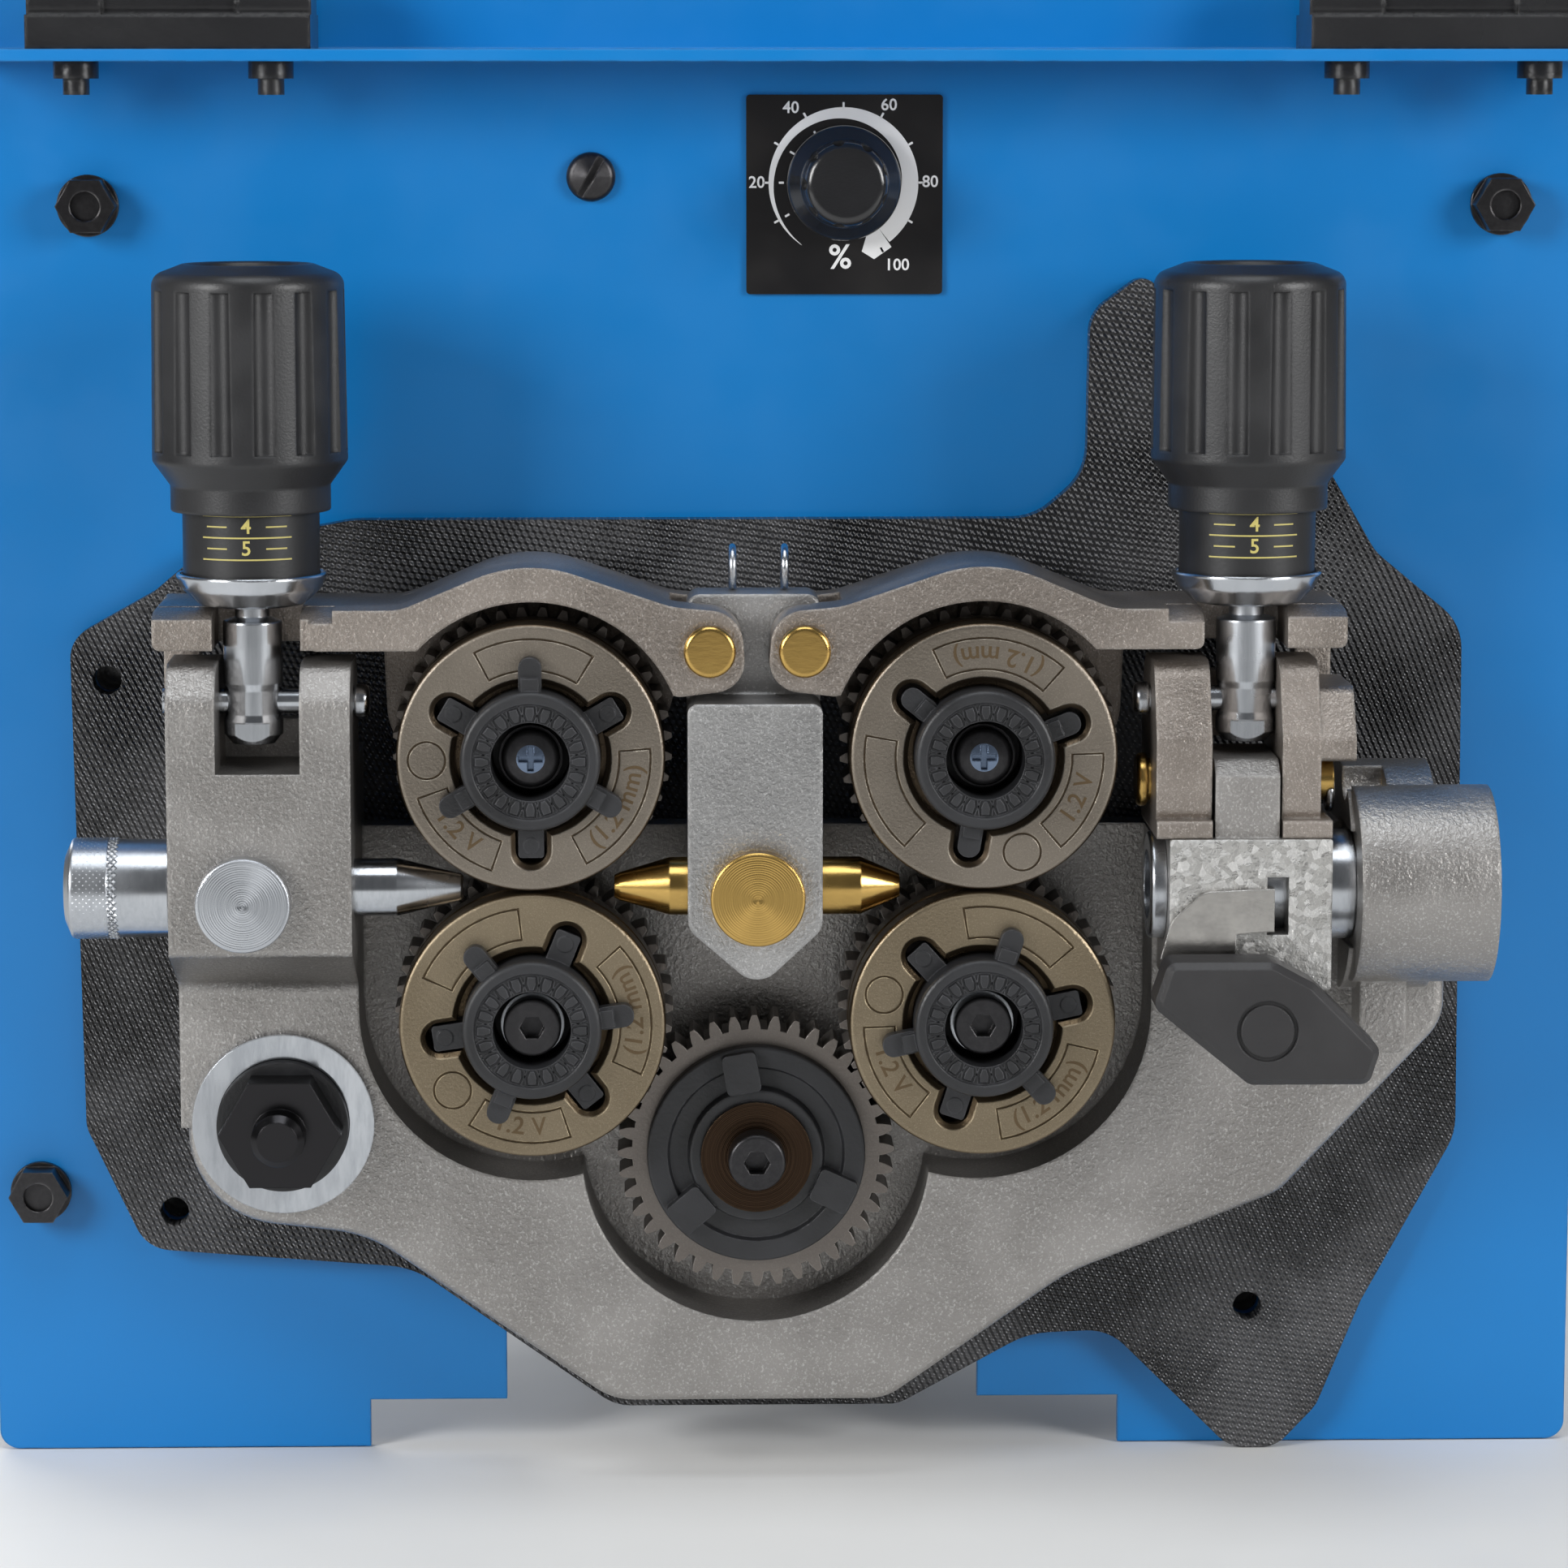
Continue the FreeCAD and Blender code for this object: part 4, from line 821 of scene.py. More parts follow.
BRASS = Finish(
    name="brass", colour=(0.60, 0.39, 0.12), second=(0.46, 0.29, 0.09), worn=(0.85, 0.66, 0.32),
    texture=Texture.BRUSHED, scale=1600.0, relief=0.000012, roughness=0.27, metallic=1.0,
    uneven=0.14, across=(0.3, 1.0, 1.0),
)
SPRING_STEEL = Finish(
    name="spring_steel", colour=(0.52, 0.50, 0.47), second=(0.30, 0.29, 0.28),
    worn=(0.85, 0.84, 0.82), texture=Texture.BRUSHED, scale=700.0, relief=0.00002,
    roughness=0.26, metallic=1.0, uneven=0.2, wear=0.8,
)
CHROME = Finish(
    name="chrome_cup", colour=(0.62, 0.64, 0.67), second=(0.45, 0.47, 0.5),
    worn=(0.85, 0.86, 0.88), texture=Texture.BRUSHED, scale=400.0, relief=0.00003,
    roughness=0.16, metallic=1.0, uneven=0.12, wear=0.5, across=(1.0, 1.0, 0.15),
)
SCALE_BLACK = Finish(
    name="scale_black", colour=(0.013, 0.013, 0.014), second=(0.022, 0.022, 0.023),
    worn=(0.05, 0.05, 0.05), texture=Texture.MOULDED, scale=1800.0, relief=0.00002,
    roughness=0.36, wear=0.3,
)
CARRIER = Finish(
    name="carrier_plastic", colour=(0.012, 0.012, 0.013), second=(0.030, 0.031, 0.035),
    worn=(0.10, 0.10, 0.11), texture=Texture.MOULDED, scale=1600.0, relief=0.00005,
    roughness=0.40, uneven=0.16, wear=0.8, edge=0.0003,
)
ROLL = PlatedRoll(
    name="roll_bronze", colour=(0.215, 0.185, 0.150), second=(0.36, 0.32, 0.27),
    worn=(0.85, 0.76, 0.62), texture=Texture.BLASTED, scale=2000.0, relief=0.00008,
    roughness=0.38, metallic=0.92, uneven=0.12, tone=0.6, wear=0.9, edge=0.00025,
)
GOLD_ROLL = replace(
    ROLL, name="roll_golden", colour=(0.225, 0.18, 0.12), second=(0.37, 0.31, 0.22),
    worn=(0.85, 0.70, 0.46),
)
GEAR = Finish(
    name="gear_steel", colour=(0.17, 0.15, 0.135), second=(0.28, 0.255, 0.23),
    worn=(0.55, 0.52, 0.49), texture=Texture.BLASTED, scale=1800.0, relief=0.00006,
    roughness=0.38, metallic=0.9, wear=0.8, edge=0.0002,
)
DARK_BRONZE = Finish(
    name="bronze_shaft", colour=(0.030, 0.018, 0.011), second=(0.07, 0.042, 0.025),
    worn=(0.4, 0.28, 0.17), texture=Texture.TURNED, scale=4000.0, relief=0.00002,
    roughness=0.25, metallic=0.95, across=(1.0, 0.0, 1.0),
)
GEARBOX = Finish(
    name="gearbox_cast", colour=(0.36, 0.36, 0.37), second=(0.52, 0.52, 0.53),
    worn=(0.66, 0.66, 0.66), texture=Texture.BLASTED, scale=900.0, relief=0.00014,
    roughness=0.48, metallic=0.85, wear=0.5, edge=0.001,
)
MOTOR_BLACK = Finish(
    name="motor_black", colour=(0.014, 0.014, 0.015), second=(0.024, 0.024, 0.026),
    worn=(0.12, 0.12, 0.12), texture=Texture.SPRAYED, scale=700.0, relief=0.00005,
    roughness=0.34, wear=0.5, edge=0.0008, coat=0.2,
)
WHITE_PRINT = Finish(
    name="white_print", colour=(0.74, 0.74, 0.74), second=(0.6, 0.6, 0.61),
    worn=(0.8, 0.8, 0.8), texture=Texture.SPRAYED, scale=900.0, relief=0.000004, roughness=0.4,
    wear=0.0, edge=0.00002,
)
YELLOW_PRINT = Finish(
    name="yellow_print", colour=(0.58, 0.50, 0.16), second=(0.42, 0.36, 0.11),
    worn=(0.6, 0.5, 0.2), texture=Texture.SPRAYED, scale=3000.0, relief=0.000004,
    roughness=0.42, tone=0.6, wear=0.0, edge=0.00002,
)
ENGRAVING = Finish(
    name="engraved_bronze", colour=(0.13, 0.09, 0.05), second=(0.2, 0.14, 0.08),
    worn=(0.3, 0.22, 0.13), texture=Texture.BLASTED, scale=2600.0, relief=0.00002,
    roughness=0.45, metallic=0.8, wear=0.0, edge=0.00002,
)
FLOOR_GREY = Finish(
    name="floor_grey", colour=(0.80, 0.80, 0.79), second=(0.76, 0.76, 0.75),
    worn=(0.8, 0.8, 0.8), texture=Texture.SPRAYED, scale=40.0, relief=0.0002, roughness=0.7,
    wear=0.0,
)

BY_SLOT: dict[str, Finish] = {
    "blue_panel": BLUE_PANEL, "hinge_black": HINGE_BLACK, "black_oxide": BLACK_OXIDE,
    "dial_print": DIAL_BLACK, "knob_black": KNOB_BLACK, "pot_steel": POT_STEEL,
    "insulator_weave": INSULATOR, "cast_aluminium": CASTING, "post_steel": POST,
    "zinc_steel": ZINC, "brass": BRASS, "spring_steel": SPRING_STEEL, "chrome_cup": CHROME,
    "scale_black": SCALE_BLACK, "carrier_plastic": CARRIER, "roll_bronze": ROLL,
    "gear_steel": GEAR, "bronze_shaft": DARK_BRONZE, "gearbox_cast": GEARBOX,
    "motor_black": MOTOR_BLACK,
}


# ---------------------------------------------------------------- mesh work


def middle(node: str) -> Vector:
    """The middle of a CAD node's box."""
    low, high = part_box(node)
    return (Vector(low) + Vector(high)) / 2


def front(across: float, up: float, out: float) -> Vector:
    """A point from its place across, its height and its stand-off towards the operator."""
    return Vector((across, -out, up))


def around(centre: tuple[float, float], radius: float, angle: float, out: float) -> Vector:
    """A point on a circle that faces the operator.

    Args:
        centre: The circle's middle, across and up.
        radius: The circle's radius.
        angle: Degrees from the right, anticlockwise to the operator.
        out: The stand-off towards the operator.

    Returns:
        The point.
    """
    turn = math.radians(angle)
    return front(centre[0] + radius * math.cos(turn), centre[1] + radius * math.sin(turn), out)


@dataclass
class Piece:
    """A new piece of the model, built up in one mesh."""

    FIGURE_SHARE = 0.7
    STROKE_SHARE = 0.02
    SHARP_ANGLE = 35

    name: str
    body: str
    finish: Finish
    slot: str
    mesh: bmesh.types.BMesh = field(default_factory=bmesh.new)

    def close(self, low: Sequence[Vector], high: Sequence[Vector]) -> None:
        """Add the solid between two outlines with the same number of corners.

        Args:
            low: The base's corners in order.
            high: The top's corners in order.
        """
        base = [self.mesh.verts.new(corner) for corner in low]
        top = [self.mesh.verts.new(corner) for corner in high]
        self.mesh.faces.new(base)
        self.mesh.faces.new(reversed(top))
        for index, corner in enumerate(base):
            after = (index + 1) % len(base)
            self.mesh.faces.new((corner, top[index], top[after], base[after]))

    def prism(self, outline: Sequence[Vector], step: Vector) -> None:
        """Add a closed prism.

        Args:
            outline: The base's corners in order.
            step: The way and the distance from the base to the top.
        """
        self.close(outline, [corner + step for corner in outline])

    def tapered(self, outline: Sequence[Vector], step: Vector, share: float) -> None:
        """Add a prism whose top is drawn in towards its middle.

        Args:
            outline: The base's corners in order.
            step: The way and the distance from the base to the top.
            share: The top's size as a share of the base's.
        """
        centre = sum(outline, Vector()) / len(outline)
        self.close(outline, [centre + (corner - centre) * share + step for corner in outline])

    def strip(self, rows: Sequence[tuple[Vector, Vector]],
              step: Callable[[Vector], Vector]) -> None:
        """Add a thin band through pairs of edge points.

        Args:
            rows: Pairs of points, one on each edge of the band.
            step: Gives the way and the thickness at a point.
        """
        loops = []
        for one, two in rows:
            section = (one, two, two + step(two), one + step(one))
            loops.append([self.mesh.verts.new(point) for point in section])
        for before, after in zip(loops, loops[1:]):
            for side in range(4):
                turn = (side + 1) % 4
                self.mesh.faces.new((before[side], before[turn], after[turn], after[side]))
        self.mesh.faces.new(reversed(loops[0]))
        self.mesh.faces.new(loops[-1])

    def lathe(self, profile: Sequence[tuple[float, float]], place: Place, steps: int) -> None:
        """Add a closed ring turned from a profile.

        Args:
            profile: (radius, height) corners of the closed section.
            place: Turns (radius * cos, radius * sin, height) into a point.
            steps: How many sides the ring has.
        """
        rings = []
        for index in range(steps):
            turn = 2 * math.pi * index / steps
            across, up = math.cos(turn), math.sin(turn)
            rings.append([self.mesh.verts.new(place(radius * across, radius * up, height))
                          for radius, height in profile])
        count = len(profile)
        for index, ring in enumerate(rings):
            after = rings[(index + 1) % steps]
            for corner in range(count):
                turn = (corner + 1) % count
                self.mesh.faces.new((ring[corner], ring[turn], after[turn], after[corner]))

    def letters(self, text: str, height: float, place: Place, thick: float) -> None:
        """Add raised characters.

        Args:
            text: The characters.
            height: The height of a figure.
            place: Turns (across, up, raised) into a point.
            thick: How far the characters stand up.
        """
        curve = bpy.data.curves.new("characters", type="FONT")
        curve.body = text
        curve.size = height / self.FIGURE_SHARE
        curve.align_x = "CENTER"
        curve.align_y = "CENTER"
        curve.extrude = thick / 2
        curve.offset = height * self.STROKE_SHARE
        curve.resolution_u = 3
        holder = bpy.data.objects.new("characters", curve)
        drawn = bpy.data.meshes.new_from_object(holder)
        start = len(self.mesh.verts)
        self.mesh.from_mesh(drawn)
        self.mesh.verts.ensure_lookup_table()
        for vert in self.mesh.verts[start:]:
            vert.co = place(vert.co.x, vert.co.y, vert.co.z + thick / 2)
        bpy.data.objects.remove(holder)
        bpy.data.curves.remove(curve)
        bpy.data.meshes.remove(drawn)

    def done(self, smooth: bool = False) -> bpy.types.Object:
        """Turn the mesh into an object that rides on its body.

        Args:
            smooth: Whether its faces are shaded smooth across shallow edges.

        Returns:
            The finished object.
        """
        bmesh.ops.recalc_face_normals(self.mesh, faces=self.mesh.faces)
        data = bpy.data.meshes.new(self.name)
        self.mesh.to_mesh(data)
        self.mesh.free()
        piece = bpy.data.objects.new(self.name, data)
        bpy.context.scene.collection.objects.link(piece)
        data.materials.append(self.finish.build())
        if smooth:
            data.shade_smooth()
            data.set_sharp_from_angle(angle=math.radians(self.SHARP_ANGLE))
        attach(piece, self.body)
        log.info("%s rides on %s", self.name, self.body)
        return piece


# ---------------------------------------------------------------- sub-assemblies


@dataclass
class SpeedDial:
    """Printed label round the run-in speed knob, and the knob's pointer."""

    plate: str = "dial_plate"
    knob: str = "speed_knob"
    ring_outer: float = 11.4 * MM
    ring_width: float = 2.7 * MM
    figure: float = 1.75 * MM
    lift: float = 0.03 * MM
    start: float = 236.0
    stop: float = -52.0
    ring_steps: int = 72
    tick_half: float = 0.16 * MM
    percent: float = 3.6 * MM
    pointer_angle: float = -25.0
    pointer_half: float = 0.28 * MM
    face: float = field(init=False)
    centre: tuple[float, float] = field(init=False)

    def __post_init__(self) -> None:
        """Read the label's face and the dial's centre from the frame."""
        low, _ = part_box(self.plate)
        self.face = -low[1]
        hub = middle(self.knob)
        self.centre = (hub.x, hub.z)

    def at(self, radius: float, angle: float) -> Vector:
        """A point on the label's face by radius and angle in degrees."""
        return around(self.centre, radius, angle, self.face)

    def scale_ring(self, print_layer: Piece) -> None:
        """Add the band that widens from nothing to its arrow.

        Args:
            print_layer: The piece that holds the print.
        """
        rows = []
        for index in range(self.ring_steps + 1):
            share = index / self.ring_steps
            angle = self.start + (self.stop - self.start) * share
            width = self.ring_width * min(1.0, 0.02 + 1.08 * share ** 0.85)
            rows.append((self.at(self.ring_outer, angle), self.at(self.ring_outer - width, angle)))
        print_layer.strip(rows, lambda point: Vector((0, -self.lift, 0)))
        ring_inner = self.ring_outer - self.ring_width
        arrow = ((self.ring_outer + 0.8 * MM, -1), (self.ring_outer + 1.1 * MM, -16),
                 (self.ring_outer - 0.6 * MM, -23), (ring_inner, -14), (ring_inner, 0))
        tip = [self.at(radius, self.stop + lag) for radius, lag in arrow]
        print_layer.prism(tip, Vector((0, -self.lift, 0)))

    def ticks(self, print_layer: Piece) -> None:
        """Add a tick at each tenth of the scale, outside the band and inside it.

        Args:
            print_layer: The piece that holds the print.
        """
        for tenth in range(1, 11):
            angle = 240 - 30 * tenth
            turn = math.radians(angle)
            side = Vector((-math.sin(turn), 0, math.cos(turn))) * self.tick_half
            spans = [(self.ring_outer - 0.05 * MM, self.ring_outer + 0.75 * MM)]
            if tenth <= 5:
                inner = self.ring_outer - self.ring_width * (0.28 + 0.16 * tenth)
                spans.append((inner - 0.7 * MM, inner + 0.05 * MM))
            for low, high in spans:
                corners = [self.at(low, angle) - side, self.at(high, angle) - side,
                           self.at(high, angle) + side, self.at(low, angle) + side]
                print_layer.prism(corners, Vector((0, -self.lift, 0)))

    def figures(self, print_layer: Piece) -> None:
        """Add the figures of the scale and the percent sign.

        Args:
            print_layer: The piece that holds the print.
        """
        spots = {"20": (-13.2, 0.0), "40": (-8.0, 11.3), "60": (6.9, 11.7), "80": (13.2, 0.1),
                 "100": (8.2, -12.5)}
        for text, (across, up) in spots.items():
            self.write(print_layer, text, across * MM, up * MM, self.figure)
        self.write(print_layer, "%", -0.5 * MM, -11.4 * MM, self.percent)

    def write(self, print_layer: Piece, text: str, across: float, up: float,
              height: float) -> None:
        """Add characters flat on the label.

        Args:
            print_layer: The piece that holds the print.
            text: The characters.
            across: How far right of the dial's centre their middle is.
            up: How far above the dial's centre their middle is.
            height: The height of a figure.
        """
        def place(x: float, y: float, z: float) -> Vector:
            """Set a point of the characters on the label."""
            return front(self.centre[0] + across + x, self.centre[1] + up + y, self.face + z)

        print_layer.letters(text, height, place, self.lift)

    def pointer(self) -> None:
        """Add the white pointer bar across the knob's skirt."""
        piece = Piece("speed_pointer", "run_in_knob", WHITE_PRINT, "dial_print")
        angle = math.radians(self.pointer_angle)
        along = Vector((math.cos(angle), 0, math.sin(angle)))
        side = Vector((-math.sin(angle), 0, math.cos(angle))) * self.pointer_half
        hub = front(*self.centre, 0)
        inner = hub + along * 6.9 * MM + Vector((0, -5.5 * MM, 0))
        outer = hub + along * 8.3 * MM + Vector((0, -4.25 * MM, 0))
        piece.strip([(inner - side, inner + side), (outer - side, outer + side)],
                    lambda point: Vector((0, -0.12 * MM, 0)))
        piece.done()

    def build(self) -> None:
        """Print the label and mark the knob."""
        layer = Piece("dial_scale_print", "frame", WHITE_PRINT, "dial_print")
        self.scale_ring(layer)
        self.ticks(layer)
        self.figures(layer)
        layer.done()
        self.pointer()


@dataclass
class TensionUnit:
    """Pressure scale printed on a spring barrel."""

    hand: Hand
    line_half: float = 7.0 * MM
    dash_inner: float = 2.9 * MM
    dash_outer: float = 6.2 * MM
    stroke: float = 0.22 * MM
    pitch: float = 3.2 * MM
    lift: float = 0.025 * MM
    first_line: float = 4.6 * MM
    line_step: float = 0.9 * MM
    figure: float = 2.1 * MM
    marks: tuple[str, ...] = ("5", "4", "3", "2")
    axis: Vector = field(init=False)
    radius: float = field(init=False)
    low_line: float = field(init=False)

    def __post_init__(self) -> None:
        """Read the barrel's axis, radius and foot from the frame."""
        low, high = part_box(f"{self.hand.value}_barrel")
        self.axis = middle(f"{self.hand.value}_barrel")
        self.radius = (high[0] - low[0]) / 2
        self.low_line = low[2] + self.first_line

    def wrap(self, across: float, up: float, raised: float) -> Vector:
        """A point on the barrel.

        Args:
            across: The distance round from the barrel's front.
            up: The height.
            raised: How far the point stands off the barrel.

        Returns:
            The point.
        """
        angle = across / self.radius
        reach = self.radius + raised
        return Vector((self.axis.x + reach * math.sin(angle),
                       self.axis.y - reach * math.cos(angle), up))

    def line(self, piece: Piece, start: float, stop: float, up: float) -> None:
        """Add one printed line round part of the barrel.

        Args:
            piece: The piece that holds the print.
            start: Where the line starts, round from the front.
            stop: Where it stops.
            up: The line's height.
        """
        steps = max(2, round(abs(stop - start) / self.line_step))
        rows = []
        for index in range(steps + 1):
            across = start + (stop - start) * index / steps
            rows.append((self.wrap(across, up - self.stroke / 2, 0),
                         self.wrap(across, up + self.stroke / 2, 0)))

        def outward(point: Vector) -> Vector:
            """The way off the barrel at a point, as long as the print is thick."""
            away = Vector((point.x - self.axis.x, point.y - self.axis.y, 0))
            return away.normalized() * self.lift

        piece.strip(rows, outward)

    def build(self) -> None:
        """Print the scale's lines, dashes and figures."""
        piece = Piece(f"{self.hand.value}_pressure_scale", f"{self.hand.value}_seat",
                      YELLOW_PRINT, "scale_black")
        for step in range(len(self.marks)):
            self.line(piece, -self.line_half, self.line_half, self.low_line + step * self.pitch)
        for step, mark in enumerate(self.marks):
            up = self.low_line + (step + 0.5) * self.pitch
            self.line(piece, -self.dash_outer, -self.dash_inner, up)
            self.line(piece, self.dash_inner, self.dash_outer, up)
            piece.letters(mark, self.figure, lambda x, y, z, up=up: self.wrap(x, up + y, z),
                          self.lift)
        piece.done()


@dataclass
class RollStation:
    """Engraved size marks on a roll and the gripping face of its carrier."""

    level: Level
    hand: Hand
    first_slot: float
    pads: int = 20
    pad_inner: float = 5.95 * MM
    pad_outer: float = 8.25 * MM
    pad_lift: float = 0.3 * MM
    pad_taper: float = 0.82
    cross_half: float = 0.09 * MM
    cross_lean: float = 0.13
    cross_share: float = 0.6
    frames: tuple[tuple[float, str], ...] = ((-59.0, "(1.2 mm)"), (195.0, "1.2 V"))
    text_radius: float = 15.3 * MM
    text_height: float = 2.6 * MM
    text_lift: float = 0.02 * MM
    rim_height: float = 0.4 * MM
    prefix: str = field(init=False)
    body: str = field(init=False)
    centre: tuple[float, float] = field(init=False)
    roll_face: float = field(init=False)
    ring_face: float = field(init=False)

    def __post_init__(self) -> None:
        """Read the station's centre and its two front faces from the frame."""
        self.prefix = f"{self.level.value}_{self.hand.value}"
        self.body = f"{self.prefix}_station"
        hub = middle(f"{self.prefix}_roll")
        self.centre = (hub.x, hub.z)
        self.roll_face = -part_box(f"{self.prefix}_roll")[0][1]
        self.ring_face = -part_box(f"{self.prefix}_carrier")[0][1] - self.rim_height

    def at(self, radius: float, angle: float, out: float) -> Vector:
        """A point by radius, angle in degrees and stand-off."""
        return around(self.centre, radius, angle, out)

    def size_marks(self) -> None:
        """Write the wire size in two of the engraved frames."""
        piece = Piece(f"{self.prefix}_size_marks", self.body, ENGRAVING, "roll_bronze")
        for offset, text in self.frames:
            def place(x: float, y: float, z: float, offset: float = offset) -> Vector:
                """Bend a point of the characters round the roll."""
                angle = self.first_slot + offset + math.degrees(x / self.text_radius)
                return self.at(self.text_radius - y, angle, self.roll_face + z)

            piece.letters(text, self.text_height, place, self.text_lift)
        piece.done()

    def grip_ring(self) -> None:
        """Add the carrier's raised pads with a cross between each pair."""
        piece = Piece(f"{self.prefix}_grip_pads", self.body, CARRIER, "carrier_plastic")
        pitch = 360 / self.pads
        centre_line = (self.pad_inner + self.pad_outer) / 2
        step = Vector((0, -self.pad_lift, 0))
        for index in range(self.pads):
            angle = index * pitch
            corners = [(self.pad_inner, -0.2), (centre_line, -0.34), (self.pad_outer, -0.26),
                       (self.pad_outer, 0.26), (centre_line, 0.34), (self.pad_inner, 0.2)]
            outline = [self.at(radius, angle + share * pitch, self.ring_face)
                       for radius, share in corners]
            piece.tapered(outline, step, self.pad_taper)
            for lean in (-self.cross_lean, self.cross_lean):
                low = self.at(self.pad_inner, angle + (0.5 - lean) * pitch, self.ring_face)
                high = self.at(self.pad_outer, angle + (0.5 + lean) * pitch, self.ring_face)
                side = (high - low).cross(Vector((0, 1, 0))).normalized() * self.cross_half
                piece.prism([low - side, high - side, high + side, low + side],
                            step * self.cross_share)
        piece.done()

    def build(self) -> None:
        """Add the station's two extra pieces."""
        self.size_marks()
        self.grip_ring()


@dataclass
class ShadeCapNuts:
    """Blind weld nuts behind the panel for the screws through the insulating plate, black and
    closed so that they stand in for the shade inside the holes.
    """

    spots: tuple[tuple[float, float], ...] = (
        (0.0772, -0.0293), (-0.0988, 0.0697), (-0.0898, -0.0133))
    outer: float = 4.6 * MM
    bore: float = 2.25 * MM
    depth: float = 7.0 * MM
    axis_gap: float = 0.0001
    sides: int = 24

    def build(self) -> None:
        """Add the nuts on the panel's back."""
        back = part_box("chassis_panel")[1][1]
        # Painted shade: black closed caps keep the floor from showing through the holes.
        piece = Piece("shade_cap_nuts", "frame", HINGE_BLACK, "black_oxide")
        floor = self.depth * 0.8
        profile = [(self.bore, 0.0), (self.outer, 0.0), (self.outer, self.depth * 0.55),
                   (self.outer * 0.72, self.depth), (self.axis_gap, self.depth),
                   (self.axis_gap, floor), (self.bore, floor)]
        for spot in self.spots:
            piece.lathe(
                profile,
                lambda x, y, z, spot=spot: Vector((spot[0] + x, back + z, spot[1] + y)),
                self.sides,
            )
        piece.done(smooth=True)


@dataclass
class InletGuide:
    """Knurled grip on the wire inlet guide's flange."""

    node: str = "inlet_guide"
    length: float = 7.0 * MM
    around: int = 44
    along: int = 7
    depth: float = 0.22 * MM
    inset: float = 0.16 * MM
    margin: float = 1.1 * MM

    def build(self) -> None:
        """Cover the grip with small diamond pyramids."""
        low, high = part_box(self.node)
        centre = middle(self.node)
        radius = (high[2] - low[2]) / 2 - self.inset
        start = low[0] + self.margin
        piece = Piece("inlet_knurl", "frame", ZINC, "zinc_steel")
        span, turn = self.length / self.along, 2 * math.pi / self.around

        def at(column: float, row: float, lift: float) -> Vector:
            """A point over the grip.

            Args:
                column: The pyramid's number round the grip.
                row: The pyramid's number along the grip.
                lift: How far the point stands off the grip.

            Returns:
                The point.
            """
            angle = turn * column
            reach = radius + lift
            return Vector((start + span * row, centre.y - reach * math.cos(angle),
                           centre.z + reach * math.sin(angle)))

        for row in range(self.along * 2 - 1):
            for column in range(self.around):
                across, along = column + 0.5 * (row % 2), 0.5 + row / 2
                corners = [at(across - 0.5, along, 0), at(across, along - 0.5, 0),
                           at(across + 0.5, along, 0), at(across, along + 0.5, 0)]
                top = piece.mesh.verts.new(at(across, along, self.depth))
                base = [piece.mesh.verts.new(corner) for corner in corners]
                piece.mesh.faces.new(base)
                for index, corner in enumerate(base):
                    piece.mesh.faces.new((base[(index + 1) % 4], corner, top))
        piece.done()


@dataclass
class GearMotor:
    """Through bolts and seam bands of the motor behind the panel."""

    node: str = "drive_motor"
    casing: float = 30.0 * MM
    seam_ahead: float = 6.0 * MM
    seam_behind: float = 19.0 * MM
    bolt_circle: float = 22.0 * MM
    bolt_half: float = 3.2 * MM
    bolt_base: float = 7.6 * MM
    bolt_height: float = 2.6 * MM
    bolt_taper: float = 0.92

    def build(self) -> None:
        """Add the motor's small fittings."""
        low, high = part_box(self.node)
        centre = middle(self.node)
        back = high[1]
        seams = Piece("motor_seams", "frame", MOTOR_BLACK, "motor_black")
        rim = [(self.casing - 0.4 * MM, 0), (self.casing + 0.25 * MM, 0.4 * MM),
               (self.casing + 0.25 * MM, 1.4 * MM), (self.casing - 0.4 * MM, 1.8 * MM)]
        for out in (low[1] + self.seam_ahead, back - self.seam_behind):
            seams.lathe(
                rim, lambda x, y, z, out=out: Vector((centre.x + x, out + z, centre.z + y)), 72)
        seams.done(smooth=True)
        bolts = Piece("motor_through_bolts", "frame", ZINC, "zinc_steel")
        for angle in (45, 225):
            turn = math.radians(angle)
            axis = (centre.x + self.bolt_circle * math.cos(turn),
                    centre.z + self.bolt_circle * math.sin(turn))
            corners = [around(axis, self.bolt_half, 60 * step, self.bolt_base - back)
                       for step in range(6)]
            bolts.tapered(corners, Vector((0, self.bolt_height, 0)), self.bolt_taper)
        bolts.done()


# ---------------------------------------------------------------- dressing the frame


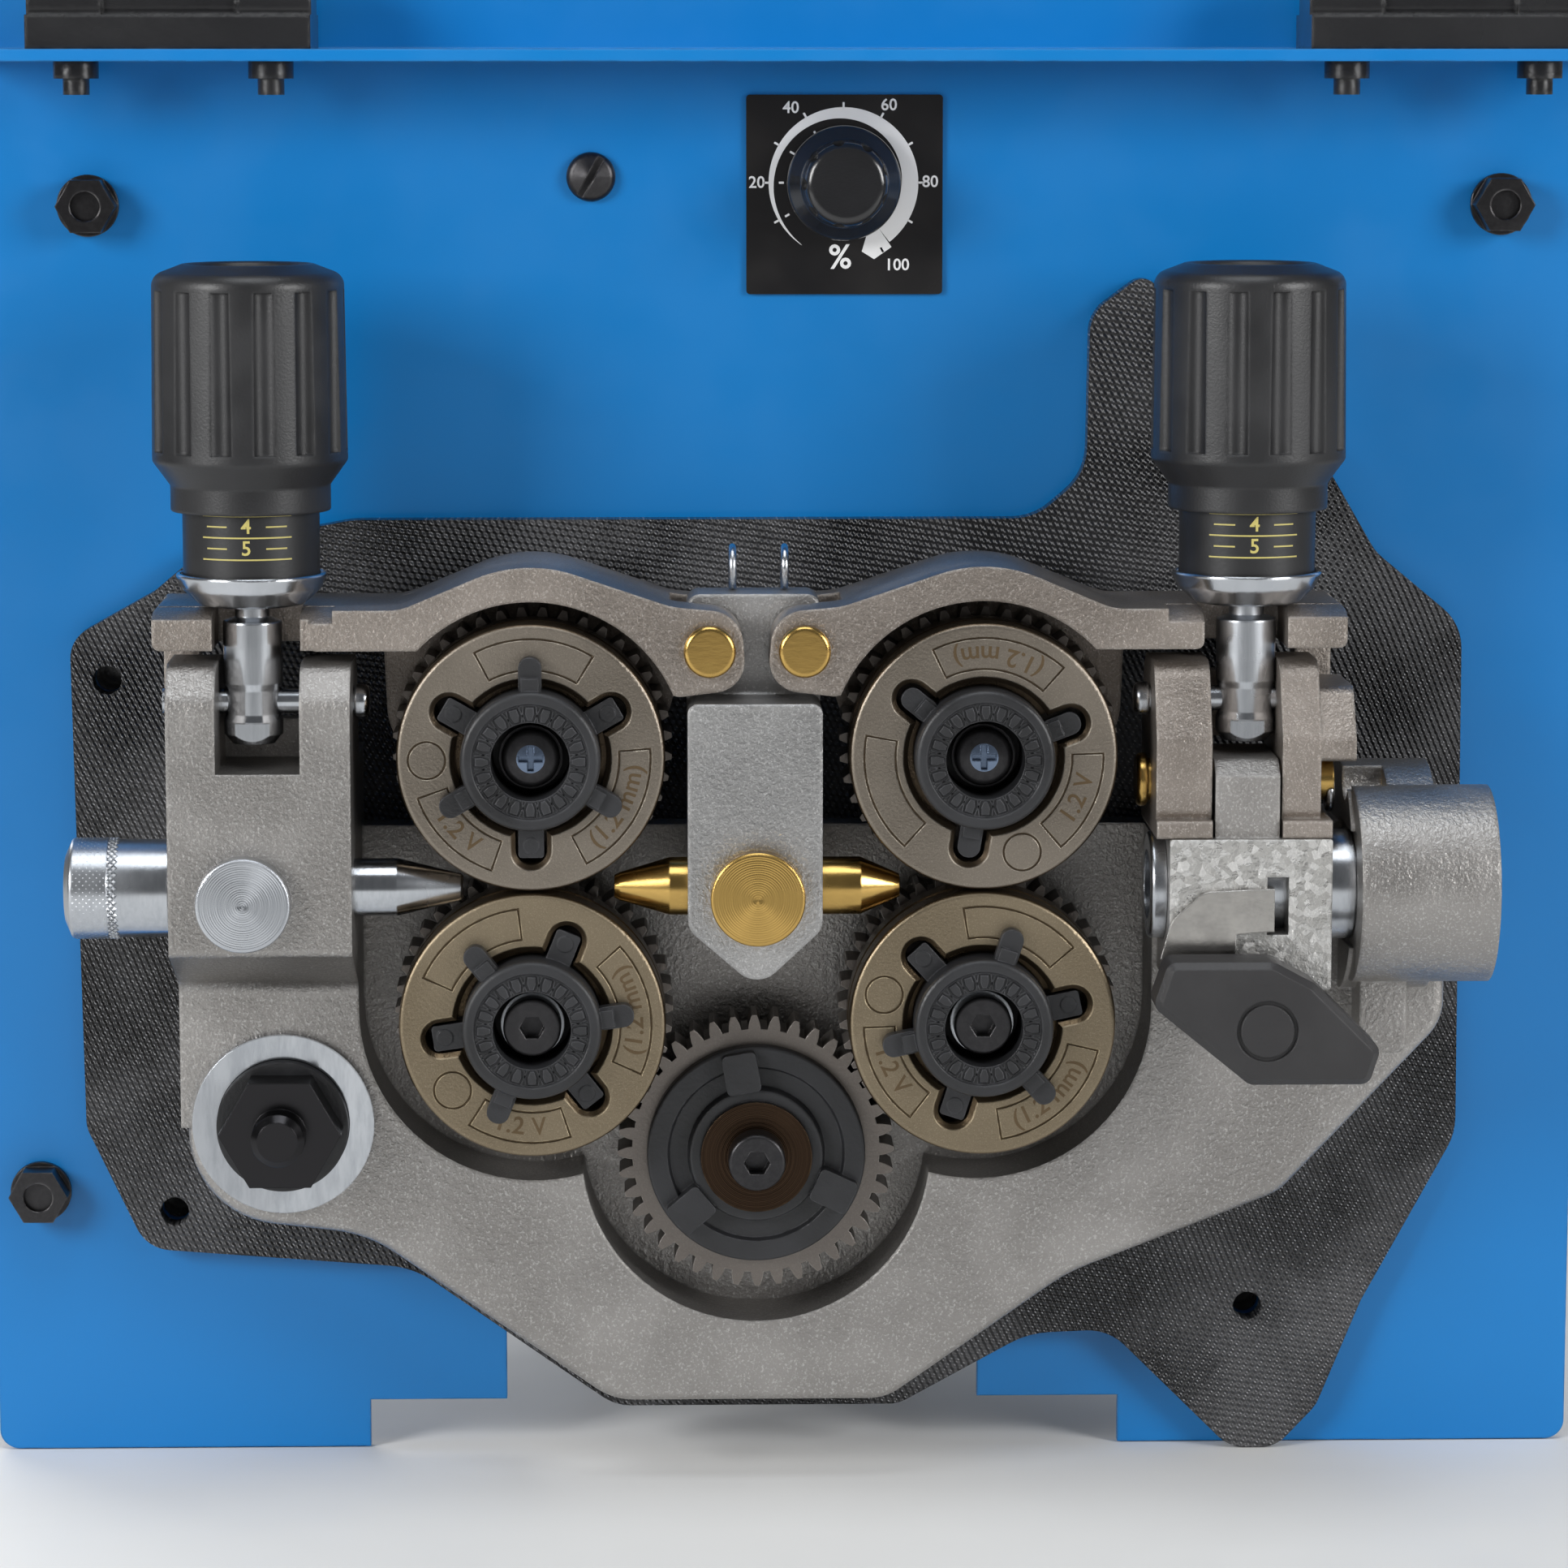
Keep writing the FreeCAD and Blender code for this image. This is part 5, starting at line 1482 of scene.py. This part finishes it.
@dataclass
class Dresser:
    """Gives every CAD node its finish."""

    special: dict[str, Finish] = field(default_factory=dict)

    def __post_init__(self) -> None:
        """Work out the turned finishes, whose rings run round each node's own axis."""
        facing = (1.0, 0.0, 1.0)
        for node, base in (("guide_screw", BRASS), ("inlet_screw", ZINC)):
            self.special[node] = replace(
                base, name=f"{node}_turned", texture=Texture.TURNED, scale=3000.0,
                relief=0.00002, roughness=0.30, across=facing, centre=tuple(middle(node)))
        zinc = {**vars(ZINC), "name": "mount_zinc", "scale": 500.0, "uneven": 0.3, "tone": 0.9}
        self.special["mount_stud"] = CoredFinish(
            **{**zinc, "centre": tuple(middle("mount_stud"))},
            core=(0.035, 0.034, 0.036), core_radius=0.0100, core_roughness=0.25)
        for node in ("upper_left_axle", "upper_right_axle"):
            oxide = {**vars(BLACK_OXIDE), "name": f"{node}_steel", "centre": tuple(middle(node))}
            self.special[node] = CoredFinish(
                **oxide, core=(0.16, 0.21, 0.30), core_radius=0.0021, core_roughness=0.22)
        for node in ("left_arm", "right_arm", "clamp_bracket"):
            self.special[node] = ARM_CASTING
        for node in ("lower_left_roll", "lower_right_roll"):
            self.special[node] = GOLD_ROLL
        upright = (1.0, 1.0, 0.06)
        for node in ("left_rod", "right_rod"):
            self.special[node] = replace(ZINC, name="rod_zinc", across=upright, scale=1800.0)
        self.special["speed_knob"] = DIAL_KNOB
        self.special["clamp_handle"] = HANDLE_BLACK
        self.special["clamp_latch"] = SPRING_STEEL

    def dress(self) -> None:
        """Put each node's finish in its object's material slots."""
        slots = {part["node"]: part["material_slot"] for part in frame["record"]["subparts"]}
        for node, piece in frame["nodes"].items():
            finish = self.special.get(node, BY_SLOT[slots[node]])
            for holder in piece.material_slots:
                holder.material = finish.build()
            log.info("%s is dressed in %s", node, finish.name)


# ---------------------------------------------------------------- studio


@dataclass
class Studio:
    """Pale floor, soft lights and the camera."""

    aim: Colour = (0.0039, -0.038, 0.0581)
    distance: float = 0.780
    pitch: float = 8.0
    turn: float = 1.46
    lens: float = 121.5
    sensor: float = 36.0
    near: float = 0.01
    floor_size: float = 3.0
    floor_gap: float = 0.0002
    sky: Colour = (0.80, 0.82, 0.85)
    sky_strength: float = 0.15

    def floor(self) -> None:
        """Lay a wide pale floor under the part."""
        low, _ = CAD_BOX
        mesh = bmesh.new()
        bmesh.ops.create_grid(mesh, x_segments=1, y_segments=1, size=self.floor_size)
        data = bpy.data.meshes.new("floor")
        mesh.to_mesh(data)
        mesh.free()
        floor = bpy.data.objects.new("floor", data)
        floor.location = (0, 0, low[2] - self.floor_gap)
        bpy.context.scene.collection.objects.link(floor)
        data.materials.append(FLOOR_GREY.build())

    def lamp(self, name: str, place: Colour, size: float, power: float,
             tint: Colour = (1, 1, 1)) -> None:
        """Hang a soft lamp that points at the part.

        Args:
            name: The lamp's name.
            place: Where it hangs.
            size: Its width and height.
            power: Its strength in watts.
            tint: Its colour.
        """
        light = bpy.data.lights.new(name, type="AREA")
        light.shape = "SQUARE"
        light.size = size
        light.energy = power
        light.color = tint
        lamp = bpy.data.objects.new(name, light)
        lamp.location = place
        lamp.rotation_euler = (Vector(self.aim) - Vector(place)).to_track_quat("-Z", "Y").to_euler()
        bpy.context.scene.collection.objects.link(lamp)

    def camera(self) -> None:
        """Set the camera up on the operator's side, a little above the drive."""
        pitch, turn = math.radians(self.pitch), math.radians(self.turn)
        level = math.cos(pitch)
        view = Vector((math.sin(turn) * level, math.cos(turn) * level, -math.sin(pitch)))
        data = bpy.data.cameras.new("camera")
        data.lens = self.lens
        data.sensor_width = self.sensor
        data.clip_start = self.near
        camera = bpy.data.objects.new("camera", data)
        camera.location = Vector(self.aim) - view * self.distance
        camera.rotation_euler = view.to_track_quat("-Z", "Y").to_euler()
        bpy.context.scene.collection.objects.link(camera)
        bpy.context.scene.camera = camera

    def build(self) -> None:
        """Set the whole studio up."""
        self.floor()
        self.lamp("left_softbox", (-0.78, -0.68, 0.40), 0.42, 8.0)
        self.lamp("right_softbox", (0.82, -0.64, 0.38), 0.42, 6.8)
        self.lamp("overhead", (0.0, -0.25, 1.0), 0.6, 4.0, (0.92, 0.96, 1.0))
        self.lamp("back_fill", (-0.5, 0.9, 0.6), 0.7, 4.5)
        world = bpy.data.worlds.new("studio")
        world.use_nodes = True
        background = world.node_tree.nodes["Background"]
        background.inputs["Color"].default_value = (*self.sky, 1.0)
        background.inputs["Strength"].default_value = self.sky_strength
        bpy.context.scene.world = world
        bpy.context.scene.view_settings.view_transform = "Standard"
        self.camera()


FIRST_SLOTS: dict[tuple[Level, Hand], float] = {
    (Level.LOWER, Hand.LEFT): 68.0,
    (Level.UPPER, Hand.LEFT): 30.0,
    (Level.LOWER, Hand.RIGHT): 12.0,
    (Level.UPPER, Hand.RIGHT): 141.0,
}


def main() -> None:
    """Dress the frame, add the finer pieces and set up the studio."""
    Dresser().dress()
    SpeedDial().build()
    for hand in Hand:
        TensionUnit(hand).build()
    for (level, hand), angle in FIRST_SLOTS.items():
        RollStation(level, hand, angle).build()
    InletGuide().build()
    ShadeCapNuts().build()
    GearMotor().build()
    Studio().build()


if __name__ == "__main__":
    main()
